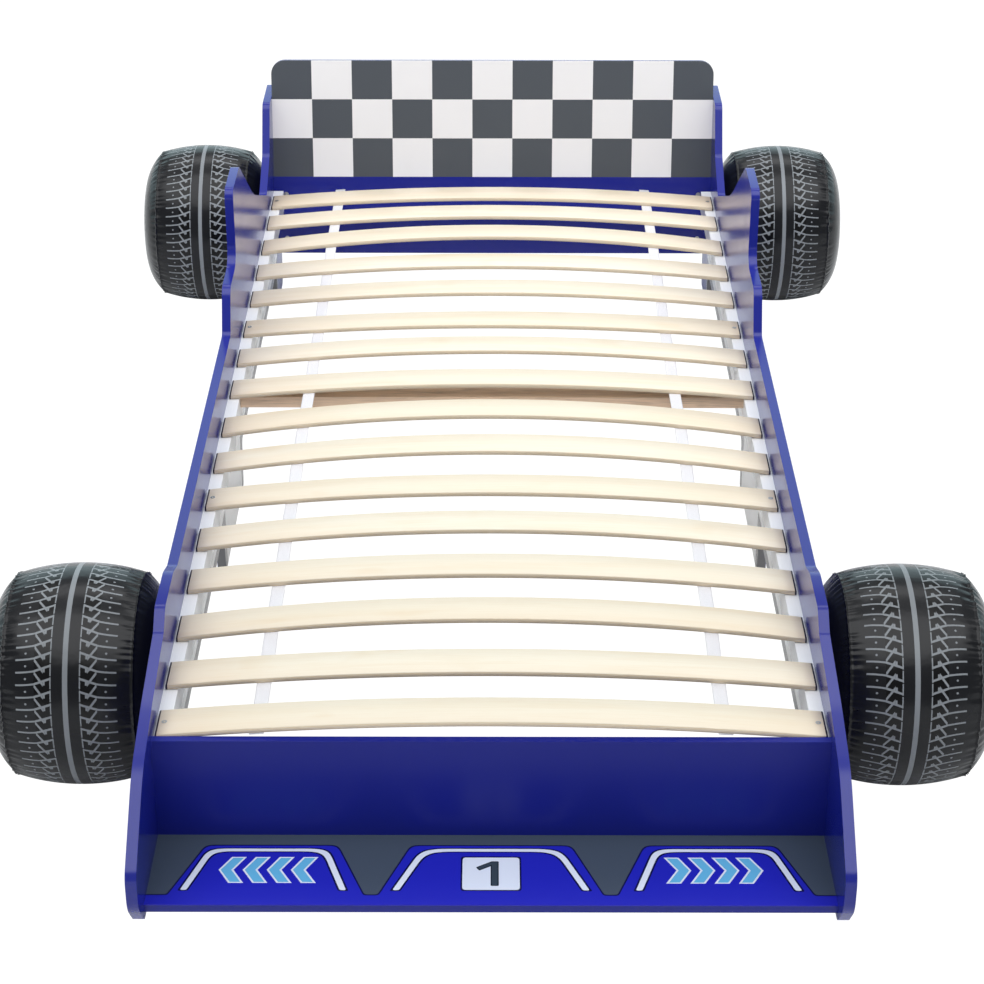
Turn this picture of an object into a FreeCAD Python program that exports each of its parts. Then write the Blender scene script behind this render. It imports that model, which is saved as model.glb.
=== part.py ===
import FreeCAD, Part
import math
import os

# A child's bed shaped like a single-seat racing car: lacquered boards around a bowed
# slat base, with four inflated wheels hung on the side panels.
# X points to the right seen from the nose, Y from the nose to the headboard, Z up.
# Everything is built with Y = 0 at the tip of the nose, and moved at the end so that the
# origin lies under the middle of the whole bed, on the floor. All lengths are millimetres.

os.makedirs("parts", exist_ok=True)

# ---- Boards ----------------------------------------------------------------------------
inner_width = 905.0         # clear width between the side panels, for a 900 mm mattress
panel_thickness = 15.0      # side panels
board_thickness = 12.0      # shelf, bulkhead and headboard

# ---- Side panel outline: heights ---------------------------------------------------------
underside_height = 84.0     # lower edge between the feet
nose_low_height = 130.0     # lower end of the blunt nose
nose_high_height = 180.0    # upper end of the blunt nose
bonnet_front_height = 267.0
bonnet_middle_height = 296.0
bonnet_rear_height = 321.0
hump_height = 345.0         # the low hump over the front wheel
rail_height = 331.0         # the long straight top edge beside the mattress
shoulder_height = 406.0     # the step in front of the fin
fin_height = 541.0          # the roll-hoop fin
fin_slope_height = 400.0    # where the fin's long rear slope turns flatter
dip_height = 303.0          # the bottom of the notch between fin and tail
tail_foot_height = 352.0    # where the tail plate starts to rise steeply
tail_height = 444.0         # the top of the tail plate

# ---- Side panel outline: distances from the nose ------------------------------------------
nose_foot_y = 38.0
bonnet_front_y = 112.0
bonnet_middle_y = 226.0
bonnet_rear_y = 368.0
hump_front_y = 397.0
hump_rear_y = 492.0
rail_front_y = 534.0
rail_rear_y = 1325.0
shoulder_y = 1360.0
fin_front_y = 1472.0
fin_top_y = 1590.0
fin_slope_y = 1812.0
panel_end_y = 2336.0
tail_length = 133.0         # the level top of the tail plate, to the panel's end
tail_rise_length = 51.0     # the steep rise in front of it
dip_length = 94.0           # from the bottom of the notch to the foot of that rise

# ---- Side panel outline: rounding of its corners -------------------------------------------
nose_foot_round = 16.0
nose_low_round = 45.0
nose_high_round = 30.0
bonnet_front_round = 150.0
bonnet_middle_round = 400.0
bonnet_rear_round = 14.0
hump_front_round = 22.0
hump_rear_round = 60.0
rail_front_round = 30.0
rail_rear_round = 14.0
shoulder_round = 26.0
fin_foot_round = 34.0
fin_front_round = 18.0
fin_rear_round = 26.0
fin_slope_round = 500.0
dip_round = 20.0
tail_foot_round = 18.0
tail_front_round = 20.0
panel_end_round = 16.0

# ---- Feet of the side panels: where each stands on the floor ------------------------------
front_foot_y = 350.0
front_foot_length = 130.0
middle_foot_y = 1084.0
middle_foot_length = 316.0
rear_foot_inset = 20.0      # from the panel's end
rear_foot_length = 120.0
foot_flare = 12.0           # how much wider a foot is at the underside than at the floor
foot_low_round = 8.0
foot_high_round = 14.0

seam_y = 1108.0             # where the front and rear half of a side panel meet

# ---- Nose shelf, bulkhead, headboard -------------------------------------------------------
shelf_front_y = 41.0
shelf_height = 107.0        # top of the shelf
bulkhead_y = 192.5          # front face of the bulkhead
bulkhead_rise = 7.0         # top of the bulkhead above the rails
headboard_inset = 138.0     # from its front face's lower edge to the panel's end
headboard_low_height = 120.0
headboard_length = 401.0    # measured up the slope
headboard_lean = 9.85       # degrees backwards
headboard_corner = 28.0

# ---- Slat base -----------------------------------------------------------------------------
rail_width = 20.0
rail_depth = 40.0
rail_top_height = 253.0
rail_joint_y = 1340.0       # where the front rail meets the rear rail
rail_front_gap = 1.0        # bulkhead to rail
rail_rear_gap = 4.0         # rail to headboard
slat_width = 60.0
slat_thickness = 8.0
slat_end_gap = 3.0          # slat end to side panel
slat_first_gap = 1.0        # bulkhead to the slat at the foot end
slat_last_gap = 61.0        # the slat at the head end to the headboard
# The sprung slats from the foot end: how far each one's middle rises above its ends, and how
# far it lies behind its even place.
slat_rise = (22.0, 23.0, 33.0, 29.0, 33.0, 28.0, 36.0, 36.0, 23.0, 27.0, 20.0, 25.0, 25.0, 34.0, 25.0, 21.0)
slat_slip = (0.0, -5.0, -8.0, -2.0, -3.0, -2.0, -4.0, -2.0, 16.0, 16.0, 13.0, 20.0, 19.0, 16.0, 17.0, 0.0)
crossbar_y = 1243.0
crossbar_width = 45.0
crossbar_depth = 20.0
webbing_x = 313.0
webbing_width = 20.0
webbing_thickness = 1.2
webbing_tail_front = 0.5    # webbing past the first slat
webbing_tail_rear = 30.0    # webbing past the last slat
staple_crown = 10.0
staple_wire = 1.0
staple_leg = 5.0

# ---- Wheels --------------------------------------------------------------------------------
front_axle_y = 512.0
rear_axle_inset = 74.0      # from the panel's end
wheel_radius = 162.0        # at the crown of the tread
wheel_crown = 13.0          # the tread's radius is this much less at the seams
wheel_seam_width = 190.0    # seam to seam
wheel_width = 252.0         # over the bulging side walls
wheel_flat_radius = 72.0    # the flat middle of a side wall
wheel_skin = 1.0
pad_length = 110.0          # hook-and-loop pads between wheel and panel
pad_width = 50.0
pad_thickness = 1.6
pad_gap = 0.05

# ---- Valves --------------------------------------------------------------------------------
valve_back = 46.0           # valve centre behind the axle
valve_flange_radius = 13.0
valve_flange_thickness = 1.5
valve_tube_radius = 6.5
valve_bore_radius = 4.0
valve_depth = 14.0          # the tube, pushed into the wheel
plug_cap_radius = 7.5
plug_cap_thickness = 2.0
plug_spigot_radius = 3.2
plug_spigot_length = 3.0
plug_hinge_rise = 16.0      # hinge above the centre of the valve
plug_hinge_radius = 0.9
plug_strap_width = 5.0
plug_clearance = 0.3        # between the stopper and the valve
pin_clearance = 0.15        # between the stopper's eye and its pin

# ---- Fasteners -----------------------------------------------------------------------------
hole_clearance = 0.25       # radial, around every screw, bolt, nut and dowel
bolt_radius = 3.0
bolt_length = 45.0
bolt_head_radius = 7.5
bolt_head_thickness = 2.5
bolt_socket_radius = 2.0
bolt_socket_depth = 1.6
nut_radius = 5.0
nut_length = 11.0           # in the headboard
bulkhead_nut_length = 9.5   # pushed in from the rear face, so that the front stays whole
nut_inset = 24.5            # barrel nut from the end of its board
bulkhead_bolt_rise = 38.0   # the bulkhead's bolts from its lower and upper edge
headboard_bolt_low = 31.0   # the headboard's bolts from its lower edge, up the slope
headboard_bolt_high = 124.0
screw_radius = 1.75
screw_head_radius = 3.8
screw_head_depth = 2.4
slat_screw_length = 24.0
slat_screw_step = 5         # every fifth slat is screwed down
slat_screw_inset = 10.0     # from the end of the slat
rail_screw_length = 32.0
rail_screw_drop = 20.0      # below the top of the rail
rail_screw_margin = 45.0
crossbar_screw_length = 55.0
crossbar_screw_inset = 12.0
shelf_side_screw_length = 45.0
shelf_side_screw_inset = 30.0
shelf_up_screw_length = 40.0
shelf_up_screw_x = (125.0, 350.0)
dowel_radius = 4.0
dowel_length = 32.0
dowel_low_height = 150.0
dowel_high_height = 285.0

# ---- Worked out from the values above ------------------------------------------------------
tail_front_y = panel_end_y - tail_length
tail_foot_y = tail_front_y - tail_rise_length
dip_y = tail_foot_y - dip_length
rear_foot_y = panel_end_y - rear_foot_inset - rear_foot_length
rear_axle_y = panel_end_y - rear_axle_inset
headboard_y = panel_end_y - headboard_inset
slat_count = len(slat_rise)
inner_x = inner_width / 2
outer_x = inner_x + panel_thickness
bulkhead_back_y = bulkhead_y + board_thickness
bulkhead_height = rail_top_height + bulkhead_rise
lean = math.radians(headboard_lean)
slat_end_x = inner_x - slat_end_gap
rail_inner_x = inner_x - rail_width
rail_mid_x = inner_x - rail_width / 2
X = FreeCAD.Vector(1, 0, 0)
Y = FreeCAD.Vector(0, 1, 0)
Z = FreeCAD.Vector(0, 0, 1)


def vec(x, y, z):
    return FreeCAD.Vector(x, y, z)


def block(low, high):
    size = high - low
    return Part.makeBox(size.x, size.y, size.z, low)


def rod(start, direction, radius, length):
    return Part.makeCylinder(radius, length, start, direction)


def mirror_x(shape):
    return shape.mirror(vec(0, 0, 0), X)


def both_sides(shapes):
    return shapes + [mirror_x(shape) for shape in shapes]


def joined(shapes):
    return Part.makeCompound(shapes)


def spread(first, last, count):
    return [first + (last - first) * i / (count - 1) for i in range(count)]


def rounded_outline(corners):
    """A closed wire in the YZ plane through corners (y, z, radius), each one rounded."""
    points = [vec(0, y, z) for y, z, radius in corners]
    count = len(points)
    ends = []
    for i, (y, z, radius) in enumerate(corners):
        here = points[i]
        back = points[i - 1] - here
        ahead = points[(i + 1) % count] - here
        half_turn = (math.pi - back.getAngle(ahead)) / 2
        reach = min(radius * math.tan(half_turn), 0.48 * back.Length, 0.48 * ahead.Length)
        round_radius = reach / math.tan(half_turn)
        start = here + back.normalize() * reach
        end = here + ahead.normalize() * reach
        towards = (start + end) * 0.5 - here
        towards.normalize()
        middle = here + towards * (round_radius / math.cos(half_turn) - round_radius)
        ends.append((start, middle, end))
    edges = []
    for i, (start, middle, end) in enumerate(ends):
        edges.append(Part.Arc(start, middle, end).toShape())
        edges.append(Part.LineSegment(end, ends[(i + 1) % count][0]).toShape())
    return Part.Wire(edges)


def foot_corners(start_y, length):
    """A foot's outline seen from the side, from its rear end to its front end."""
    end_y = start_y + length
    return [
        (end_y + foot_flare, underside_height, foot_high_round),
        (end_y, 0.0, foot_low_round),
        (start_y, 0.0, foot_low_round),
        (start_y - foot_flare, underside_height, foot_high_round),
    ]


def panel_corners():
    """The outline of a whole side panel, from the nose over the top and back underneath."""
    top = [
        (nose_foot_y, underside_height, nose_foot_round),
        (0.0, nose_low_height, nose_low_round),
        (0.0, nose_high_height, nose_high_round),
        (bonnet_front_y, bonnet_front_height, bonnet_front_round),
        (bonnet_middle_y, bonnet_middle_height, bonnet_middle_round),
        (bonnet_rear_y, bonnet_rear_height, bonnet_rear_round),
        (hump_front_y, hump_height, hump_front_round),
        (hump_rear_y, hump_height, hump_rear_round),
        (rail_front_y, rail_height, rail_front_round),
        (rail_rear_y, rail_height, rail_rear_round),
        (shoulder_y, shoulder_height, shoulder_round),
        (fin_front_y, shoulder_height, fin_foot_round),
        (fin_front_y, fin_height, fin_front_round),
        (fin_top_y, fin_height, fin_rear_round),
        (fin_slope_y, fin_slope_height, fin_slope_round),
        (dip_y, dip_height, dip_round),
        (tail_foot_y, tail_foot_height, tail_foot_round),
        (tail_front_y, tail_height, tail_front_round),
        (panel_end_y, tail_height, panel_end_round),
    ]
    rear = [
        (panel_end_y, underside_height, panel_end_round),
        (rear_foot_y + rear_foot_length, 0.0, foot_low_round),
        (rear_foot_y, 0.0, foot_low_round),
        (rear_foot_y - foot_flare, underside_height, foot_high_round),
    ]
    middle = foot_corners(middle_foot_y, middle_foot_length)
    front = foot_corners(front_foot_y, front_foot_length)
    return top + rear + middle + front


def bolt(point, direction):
    """A furniture bolt whose head's underside lies at point; its shank runs along direction."""
    head = rod(point - direction * bolt_head_thickness, direction, bolt_head_radius, bolt_head_thickness)
    socket_start = point - direction * bolt_head_thickness
    socket = rod(socket_start, direction, bolt_socket_radius, bolt_socket_depth)
    shank = rod(point, direction, bolt_radius, bolt_length)
    return head.fuse(shank).cut(socket).removeSplitter()


def bolt_hole(point, direction):
    return rod(point, direction, bolt_radius + hole_clearance, bolt_length + hole_clearance)


def barrel_nut(centre, direction, cross, length):
    """A cross dowel along direction, with a bolt's hole through it along cross."""
    body = rod(centre - direction * (length / 2), direction, nut_radius, length)
    hole_radius = bolt_radius + hole_clearance / 2
    return body.cut(rod(centre - cross * nut_radius * 1.5, cross, hole_radius, nut_radius * 3))


def screw_shape(point, direction, length, grow=0.0):
    """A countersunk screw with its flat head at point; grow makes its hole instead."""
    radius = screw_radius + grow
    head_radius = screw_head_radius + grow
    head = Part.makeCone(head_radius, radius, screw_head_depth, point, direction)
    shank = rod(point + direction * screw_head_depth, direction, radius, length - screw_head_depth + grow)
    return head.fuse(shank)


def screws(places, length):
    return [screw_shape(point, direction, length) for point, direction in places]


def screw_holes(places, length):
    return [screw_shape(point, direction, length, hole_clearance) for point, direction in places]


# ---- Places of the fasteners; the right side, mirrored for the left -------------------------
def bulkhead_bolt_places():
    """Through the middle of the nuts, which end flush with the bulkhead's rear face."""
    y = bulkhead_back_y - bulkhead_nut_length / 2
    heights = (shelf_height + bulkhead_bolt_rise, bulkhead_height - bulkhead_bolt_rise)
    return [(vec(outer_x, y, height), X * -1) for height in heights]


def on_headboard(across, up, deep):
    """A point of the headboard: across in X, up its front face, deep into the board."""
    y = headboard_y + up * math.sin(lean) + deep * math.cos(lean)
    z = headboard_low_height + up * math.cos(lean) - deep * math.sin(lean)
    return vec(across, y, z)


def headboard_bolt_places():
    rises = (headboard_bolt_low, headboard_bolt_high)
    return [(on_headboard(outer_x, up, board_thickness / 2), X * -1) for up in rises]


def rail_screw_places():
    """Screws through the rails into the panels, none of them across the panel's seam."""
    height = rail_top_height - rail_screw_drop
    first = bulkhead_back_y + rail_front_gap + rail_screw_margin
    rail_end = rail_end_y()
    places = spread(first, seam_y - rail_screw_margin, 4)
    places += spread(seam_y + rail_screw_margin, rail_joint_y - rail_screw_margin, 2)
    places += spread(rail_joint_y + rail_screw_margin, rail_end - rail_screw_margin, 4)
    return [(vec(rail_inner_x, y, height), X) for y in places]


def crossbar_screw_places():
    height = rail_top_height - crossbar_depth / 2
    ys = (crossbar_y + crossbar_screw_inset, crossbar_y + crossbar_width - crossbar_screw_inset)
    return [(vec(inner_x, y, height), X * -1) for y in ys]


def slat_y(index):
    """The front edge of a slat, from the foot end."""
    first = bulkhead_back_y + slat_first_gap
    last = on_headboard_front(rail_top_height + slat_thickness) - slat_last_gap - slat_width
    return spread(first, last, slat_count)[index] + slat_slip[index]


def slat_screw_places():
    """Sunk into every so many slats, just below their sloping ends."""
    x = slat_end_x - slat_screw_inset
    places = []
    for index in range(0, slat_count, slat_screw_step):
        top = underside_of_slat(x + screw_head_radius, index) + slat_thickness
        places.append((vec(x, slat_y(index) + slat_width / 2, top), Z * -1))
    return places


def shelf_side_screw_places():
    height = shelf_height - board_thickness / 2
    ys = (shelf_front_y + shelf_side_screw_inset, bulkhead_y - shelf_side_screw_inset)
    return [(vec(outer_x, y, height), X * -1) for y in ys]


def shelf_up_screw_places():
    mid_y = bulkhead_y + board_thickness / 2
    low = shelf_height - board_thickness
    return [(vec(x, mid_y, low), Z) for x in shelf_up_screw_x]


def dowel_starts():
    x = inner_x + panel_thickness / 2
    return [vec(x, seam_y - dowel_length / 2, z) for z in (dowel_low_height, dowel_high_height)]


def on_headboard_front(height):
    """Where the front face of the leaning headboard is at a height."""
    return headboard_y + (height - headboard_low_height) * math.tan(lean)


def rail_end_y():
    """The rails stop before the headboard's front face, which is nearest at their lower edge."""
    return on_headboard_front(rail_top_height - rail_depth) - rail_rear_gap


# ---- Side panels -----------------------------------------------------------------------------
def side_panel():
    face = Part.Face(rounded_outline(panel_corners()))
    body = face.extrude(X * panel_thickness)
    body.translate(X * inner_x)
    holes = [bolt_hole(*place) for place in bulkhead_bolt_places() + headboard_bolt_places()]
    holes += screw_holes(rail_screw_places(), rail_screw_length)
    holes += screw_holes(shelf_side_screw_places(), shelf_side_screw_length)
    for start in dowel_starts():
        hole_start = start - Y * hole_clearance
        hole_length = dowel_length + 2 * hole_clearance
        holes.append(rod(hole_start, Y, dowel_radius + hole_clearance, hole_length))
    return body.cut(joined(holes))


def panel_half(panel, front):
    margin = panel_thickness
    start_y = -margin if front else seam_y
    end_y = seam_y if front else panel_end_y + margin
    low = vec(inner_x - margin, start_y, -margin)
    high = vec(outer_x + margin, end_y, fin_height + margin)
    return panel.common(block(low, high))


# ---- Boards across the bed ----------------------------------------------------------------------
def bulkhead():
    low = vec(-inner_x, bulkhead_y, shelf_height)
    high = vec(inner_x, bulkhead_back_y, bulkhead_height)
    holes = [bolt_hole(*place) for place in bulkhead_bolt_places()]
    holes += bulkhead_nut_pockets()
    holes += screw_holes(shelf_up_screw_places(), shelf_up_screw_length)
    return block(low, high).cut(joined(both_sides(holes)))


def nose_shelf():
    low = vec(-inner_x, shelf_front_y, shelf_height - board_thickness)
    high = vec(inner_x, bulkhead_back_y, shelf_height)
    holes = screw_holes(shelf_side_screw_places(), shelf_side_screw_length)
    holes += screw_holes(shelf_up_screw_places(), shelf_up_screw_length)
    return block(low, high).cut(joined(both_sides(holes)))


def headboard():
    """Drawn upright at its lower front edge, its upper corners rounded, then leaned back."""
    low = vec(-inner_x, 0, 0)
    high = vec(inner_x, board_thickness, headboard_length)
    board = block(low, high)
    top_ends = [vec(x, board_thickness / 2, headboard_length) for x in (-inner_x, inner_x)]
    corners = [edge for edge in board.Edges if any(edge.CenterOfMass.isEqual(end, 0.01) for end in top_ends)]
    board = board.makeFillet(headboard_corner, corners)
    board.rotate(vec(0, 0, 0), X, -headboard_lean)
    board.translate(vec(0, headboard_y, headboard_low_height))
    holes = [bolt_hole(*place) for place in headboard_bolt_places()]
    holes += headboard_nut_pockets()
    return board.cut(joined(both_sides(holes)))


def headboard_normal():
    return vec(0, math.cos(lean), -math.sin(lean))


def bulkhead_nut_centres():
    return [vec(inner_x - nut_inset, point.y, point.z) for point, direction in bulkhead_bolt_places()]


def headboard_nut_centres():
    return [vec(inner_x - nut_inset, point.y, point.z) for point, direction in headboard_bolt_places()]


def bulkhead_nut_pockets():
    """Blind holes from the rear face."""
    radius = nut_radius + hole_clearance
    depth = bulkhead_nut_length + hole_clearance
    starts = [vec(centre.x, bulkhead_back_y - depth, centre.z) for centre in bulkhead_nut_centres()]
    return [rod(start, Y, radius, board_thickness) for start in starts]


def headboard_nut_pockets():
    """Holes right through the board, so that the nut can be pushed in from either face."""
    radius = nut_radius + hole_clearance
    normal = headboard_normal()
    starts = [centre - normal * board_thickness for centre in headboard_nut_centres()]
    return [rod(start, normal, radius, board_thickness * 2) for start in starts]


# ---- Slat base ---------------------------------------------------------------------------------
def side_rail(start_y, end_y):
    low = vec(rail_inner_x, start_y, rail_top_height - rail_depth)
    high = vec(inner_x, end_y, rail_top_height)
    holes = screw_holes(rail_screw_places(), rail_screw_length)
    holes += screw_holes(slat_screw_places(), slat_screw_length)
    holes += screw_holes(crossbar_screw_places(), crossbar_screw_length)
    return block(low, high).cut(joined(holes))


def crossbar():
    low = vec(-rail_inner_x, crossbar_y, rail_top_height - crossbar_depth)
    high = vec(rail_inner_x, crossbar_y + crossbar_width, rail_top_height)
    holes = screw_holes(crossbar_screw_places(), crossbar_screw_length)
    return block(low, high).cut(joined(both_sides(holes)))


def underside_of_slat(x, index):
    """The height of a slat's lower face at x: one arc, whose ends stand on the rails."""
    rise = slat_rise[index]
    radius = (slat_end_x ** 2 + rise ** 2) / (2 * rise)
    return rail_top_height + rise - radius + math.sqrt(radius ** 2 - x ** 2)


def slat(index):
    start_y = slat_y(index)
    low = [vec(x, start_y, underside_of_slat(x, index)) for x in (slat_end_x, 0, -slat_end_x)]
    high = [point + Z * slat_thickness for point in low]
    edges = [
        Part.Arc(low[0], low[1], low[2]).toShape(),
        Part.LineSegment(low[2], high[2]).toShape(),
        Part.Arc(high[2], high[1], high[0]).toShape(),
        Part.LineSegment(high[0], low[0]).toShape(),
    ]
    strip = Part.Face(Part.Wire(edges)).extrude(Y * slat_width)
    if index % slat_screw_step:
        return strip
    holes = screw_holes(slat_screw_places(), slat_screw_length)
    for point, direction in slat_screw_places():
        holes.append(rod(point, Z, screw_head_radius + hole_clearance, slat_thickness))
    return strip.cut(joined(both_sides(holes)))


def webbing():
    """The right-hand strap, flat against each slat's underside and straight between them."""
    inner = webbing_x - webbing_width / 2
    outer = webbing_x + webbing_width / 2
    sections = []
    for index in range(slat_count):
        start_y = slat_y(index)
        end_y = start_y + slat_width
        if index == 0:
            start_y -= webbing_tail_front
        if index == slat_count - 1:
            end_y += webbing_tail_rear
        inner_top = underside_of_slat(inner, index)
        outer_top = underside_of_slat(outer, index)
        for y in (start_y, end_y):
            corners = [
                vec(inner, y, inner_top),
                vec(outer, y, outer_top),
                vec(outer, y, outer_top - webbing_thickness),
                vec(inner, y, inner_top - webbing_thickness),
            ]
            sections.append(Part.makePolygon(corners + corners[:1]))
    return Part.makeLoft(sections, True, True)


def staples():
    """One wire staple under each slat: a crown under the webbing, two legs into the slat."""
    made = []
    crown_half = staple_crown / 2
    inner = webbing_x - staple_wire / 2
    outer = webbing_x + staple_wire / 2
    for index in range(slat_count):
        mid_y = slat_y(index) + slat_width / 2
        top = underside_of_slat(webbing_x, index) - webbing_thickness
        staple = block(vec(inner, mid_y - crown_half, top - staple_wire), vec(outer, mid_y + crown_half, top))
        for leg_y in (mid_y - crown_half, mid_y + crown_half - staple_wire):
            leg_low = vec(inner, leg_y, top)
            leg_high = vec(outer, leg_y + staple_wire, top + staple_leg)
            staple = staple.fuse(block(leg_low, leg_high))
        made.append(staple.removeSplitter())
    return made


# ---- Wheels ------------------------------------------------------------------------------------
def wheel_form(inset):
    """A crowned barrel about the X axis, its side walls bulging; inset gives the inner skin."""
    crown = vec(0, 0, wheel_radius - inset)
    half_seam = wheel_seam_width / 2 - inset
    half_width = wheel_width / 2 - inset
    seam_radius = wheel_radius - wheel_crown - inset
    seam = vec(half_seam, 0, seam_radius)
    flat = vec(half_width, 0, wheel_flat_radius)
    # The side wall is an arc from the seam that runs smoothly into the flat middle.
    bulge = half_width - half_seam
    rise = seam_radius - wheel_flat_radius
    arc_radius = (bulge ** 2 + rise ** 2) / (2 * bulge)
    half_angle = math.asin(rise / arc_radius) / 2
    arc_centre = vec(half_width - arc_radius, 0, wheel_flat_radius)
    shoulder = arc_centre + vec(math.cos(half_angle), 0, math.sin(half_angle)) * arc_radius
    left_seam = vec(-seam.x, 0, seam.z)
    left_shoulder = vec(-shoulder.x, 0, shoulder.z)
    left_flat = vec(-flat.x, 0, flat.z)
    axis_right = vec(half_width, 0, 0)
    axis_left = vec(-half_width, 0, 0)
    edges = [
        Part.LineSegment(axis_right, flat).toShape(),
        Part.Arc(flat, shoulder, seam).toShape(),
        Part.Arc(seam, crown, left_seam).toShape(),
        Part.Arc(left_seam, left_shoulder, left_flat).toShape(),
        Part.LineSegment(left_flat, axis_left).toShape(),
        Part.LineSegment(axis_left, axis_right).toShape(),
    ]
    return Part.Face(Part.Wire(edges)).revolve(vec(0, 0, 0), X, 360)


def wheel_centre(axle_y):
    x = outer_x + 2 * pad_thickness + pad_gap + wheel_width / 2
    return vec(x, axle_y, wheel_radius)


def valve_centre(axle_y):
    """On the flat middle of the outer side wall, behind the axle."""
    return wheel_centre(axle_y) + vec(wheel_width / 2, valve_back, 0)


def wheel(axle_y):
    skin = wheel_form(0.0).cut(wheel_form(wheel_skin))
    skin.translate(wheel_centre(axle_y))
    hole_start = valve_centre(axle_y) - X * valve_depth
    hole = rod(hole_start, X, valve_tube_radius + hole_clearance, valve_depth * 2)
    return skin.cut(hole)


def valve_body(axle_y):
    """A flange on the side wall, a tube through it, and two ears with the stopper's pin."""
    face = valve_centre(axle_y)
    hinge = plug_hinge_point(axle_y)
    tube_length = valve_depth + valve_flange_thickness
    flange = rod(face, X, valve_flange_radius, valve_flange_thickness)
    tube = rod(face - X * valve_depth, X, valve_tube_radius, tube_length)
    bore = rod(face - X * valve_depth, X, valve_bore_radius, tube_length)
    ear_inner = plug_strap_width / 2 + plug_clearance
    ear_outer = ear_inner + plug_hinge_radius * 2
    low = vec(face.x, face.y - ear_outer, face.z + valve_flange_radius * 0.7)
    high = vec(hinge.x + plug_hinge_radius * 2, face.y + ear_outer, hinge.z + plug_hinge_radius * 2)
    slot_low = vec(face.x, face.y - ear_inner, low.z)
    slot_high = vec(high.x, face.y + ear_inner, high.z)
    ears = block(low, high).cut(block(slot_low, slot_high))
    pin = rod(vec(hinge.x, face.y - ear_outer, hinge.z), Y, plug_hinge_radius, ear_outer * 2)
    return flange.fuse(tube).fuse(ears).fuse(pin).cut(bore).removeSplitter()


def plug_mouth(axle_y):
    """The centre of the cap's inner face when the stopper is closed."""
    return valve_centre(axle_y) + X * (valve_flange_thickness + plug_clearance)


def plug_hinge_point(axle_y):
    return plug_mouth(axle_y) + vec(plug_cap_thickness / 2, 0, plug_hinge_rise)


def valve_plug(axle_y):
    """The stopper: a cap over the tube's mouth, a short spigot in it, and a hinged strap."""
    mouth = plug_mouth(axle_y)
    hinge = plug_hinge_point(axle_y)
    half_strap = plug_strap_width / 2
    cap = rod(mouth, X, plug_cap_radius, plug_cap_thickness)
    spigot = rod(mouth, X * -1, plug_spigot_radius, plug_spigot_length)
    eye = rod(hinge - Y * half_strap, Y, plug_hinge_radius * 2, plug_strap_width)
    low = vec(mouth.x, mouth.y - half_strap, mouth.z + plug_cap_radius / 2)
    high = vec(mouth.x + plug_cap_thickness, mouth.y + half_strap, hinge.z)
    pin_hole_radius = plug_hinge_radius + pin_clearance
    pin_hole = rod(hinge - Y * plug_strap_width, Y, pin_hole_radius, plug_strap_width * 2)
    return cap.fuse(spigot).fuse(block(low, high)).fuse(eye).cut(pin_hole).removeSplitter()


def pads(on_panel):
    """Pads on the panel or on the wheel, upright on the axle line of both wheels."""
    start_x = outer_x if on_panel else outer_x + pad_thickness + pad_gap
    made = []
    for axle_y in (front_axle_y, rear_axle_y):
        low = vec(start_x, axle_y - pad_width / 2, wheel_radius - pad_length / 2)
        high = vec(start_x + pad_thickness, axle_y + pad_width / 2, wheel_radius + pad_length / 2)
        made.append(block(low, high))
    return made


# ---- All the nodes -------------------------------------------------------------------------------
def all_nodes():
    nodes = {}
    panel = side_panel()
    rails = {
        "front": side_rail(bulkhead_back_y + rail_front_gap, rail_joint_y),
        "rear": side_rail(rail_joint_y, rail_end_y()),
    }
    for half in ("front", "rear"):
        half_panel = panel_half(panel, half == "front")
        nodes["side_panel_%s_right" % half] = half_panel
        nodes["side_panel_%s_left" % half] = mirror_x(half_panel)
        nodes["slat_rail_%s_right" % half] = rails[half]
        nodes["slat_rail_%s_left" % half] = mirror_x(rails[half])
    nodes["nose_bulkhead"] = bulkhead()
    nodes["nose_shelf"] = nose_shelf()
    nodes["headboard"] = headboard()
    nodes["centre_crossbar"] = crossbar()
    for index in range(slat_count):
        nodes["slat_%02d" % (index + 1)] = slat(index)
    strap = webbing()
    nodes["webbing_right"] = strap
    nodes["webbing_left"] = mirror_x(strap)
    nodes["webbing_staples"] = joined(both_sides(staples()))

    for name, axle_y in (("front", front_axle_y), ("rear", rear_axle_y)):
        pieces = {"wheel": wheel(axle_y), "valve_body": valve_body(axle_y), "valve_plug": valve_plug(axle_y)}
        for piece, shape in pieces.items():
            nodes["%s_%s_right" % (piece, name)] = shape
            nodes["%s_%s_left" % (piece, name)] = mirror_x(shape)
    nodes["hook_pads"] = joined(both_sides(pads(True)))
    nodes["loop_pads"] = joined(both_sides(pads(False)))

    nodes["bulkhead_bolts"] = joined(both_sides([bolt(*place) for place in bulkhead_bolt_places()]))
    nodes["headboard_bolts"] = joined(both_sides([bolt(*place) for place in headboard_bolt_places()]))
    nuts = [barrel_nut(centre, Y, X, bulkhead_nut_length) for centre in bulkhead_nut_centres()]
    nodes["bulkhead_barrel_nuts"] = joined(both_sides(nuts))
    nuts = [barrel_nut(centre, headboard_normal(), X, nut_length) for centre in headboard_nut_centres()]
    nodes["headboard_barrel_nuts"] = joined(both_sides(nuts))
    groups = {
        "rail_screws": (rail_screw_places(), rail_screw_length),
        "slat_screws": (slat_screw_places(), slat_screw_length),
        "crossbar_screws": (crossbar_screw_places(), crossbar_screw_length),
        "shelf_side_screws": (shelf_side_screw_places(), shelf_side_screw_length),
        "shelf_up_screws": (shelf_up_screw_places(), shelf_up_screw_length),
    }
    for name, (places, length) in groups.items():
        nodes[name] = joined(both_sides(screws(places, length)))
    dowels = [rod(start, Y, dowel_radius, dowel_length) for start in dowel_starts()]
    nodes["seam_dowels"] = joined(both_sides(dowels))
    return nodes


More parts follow.
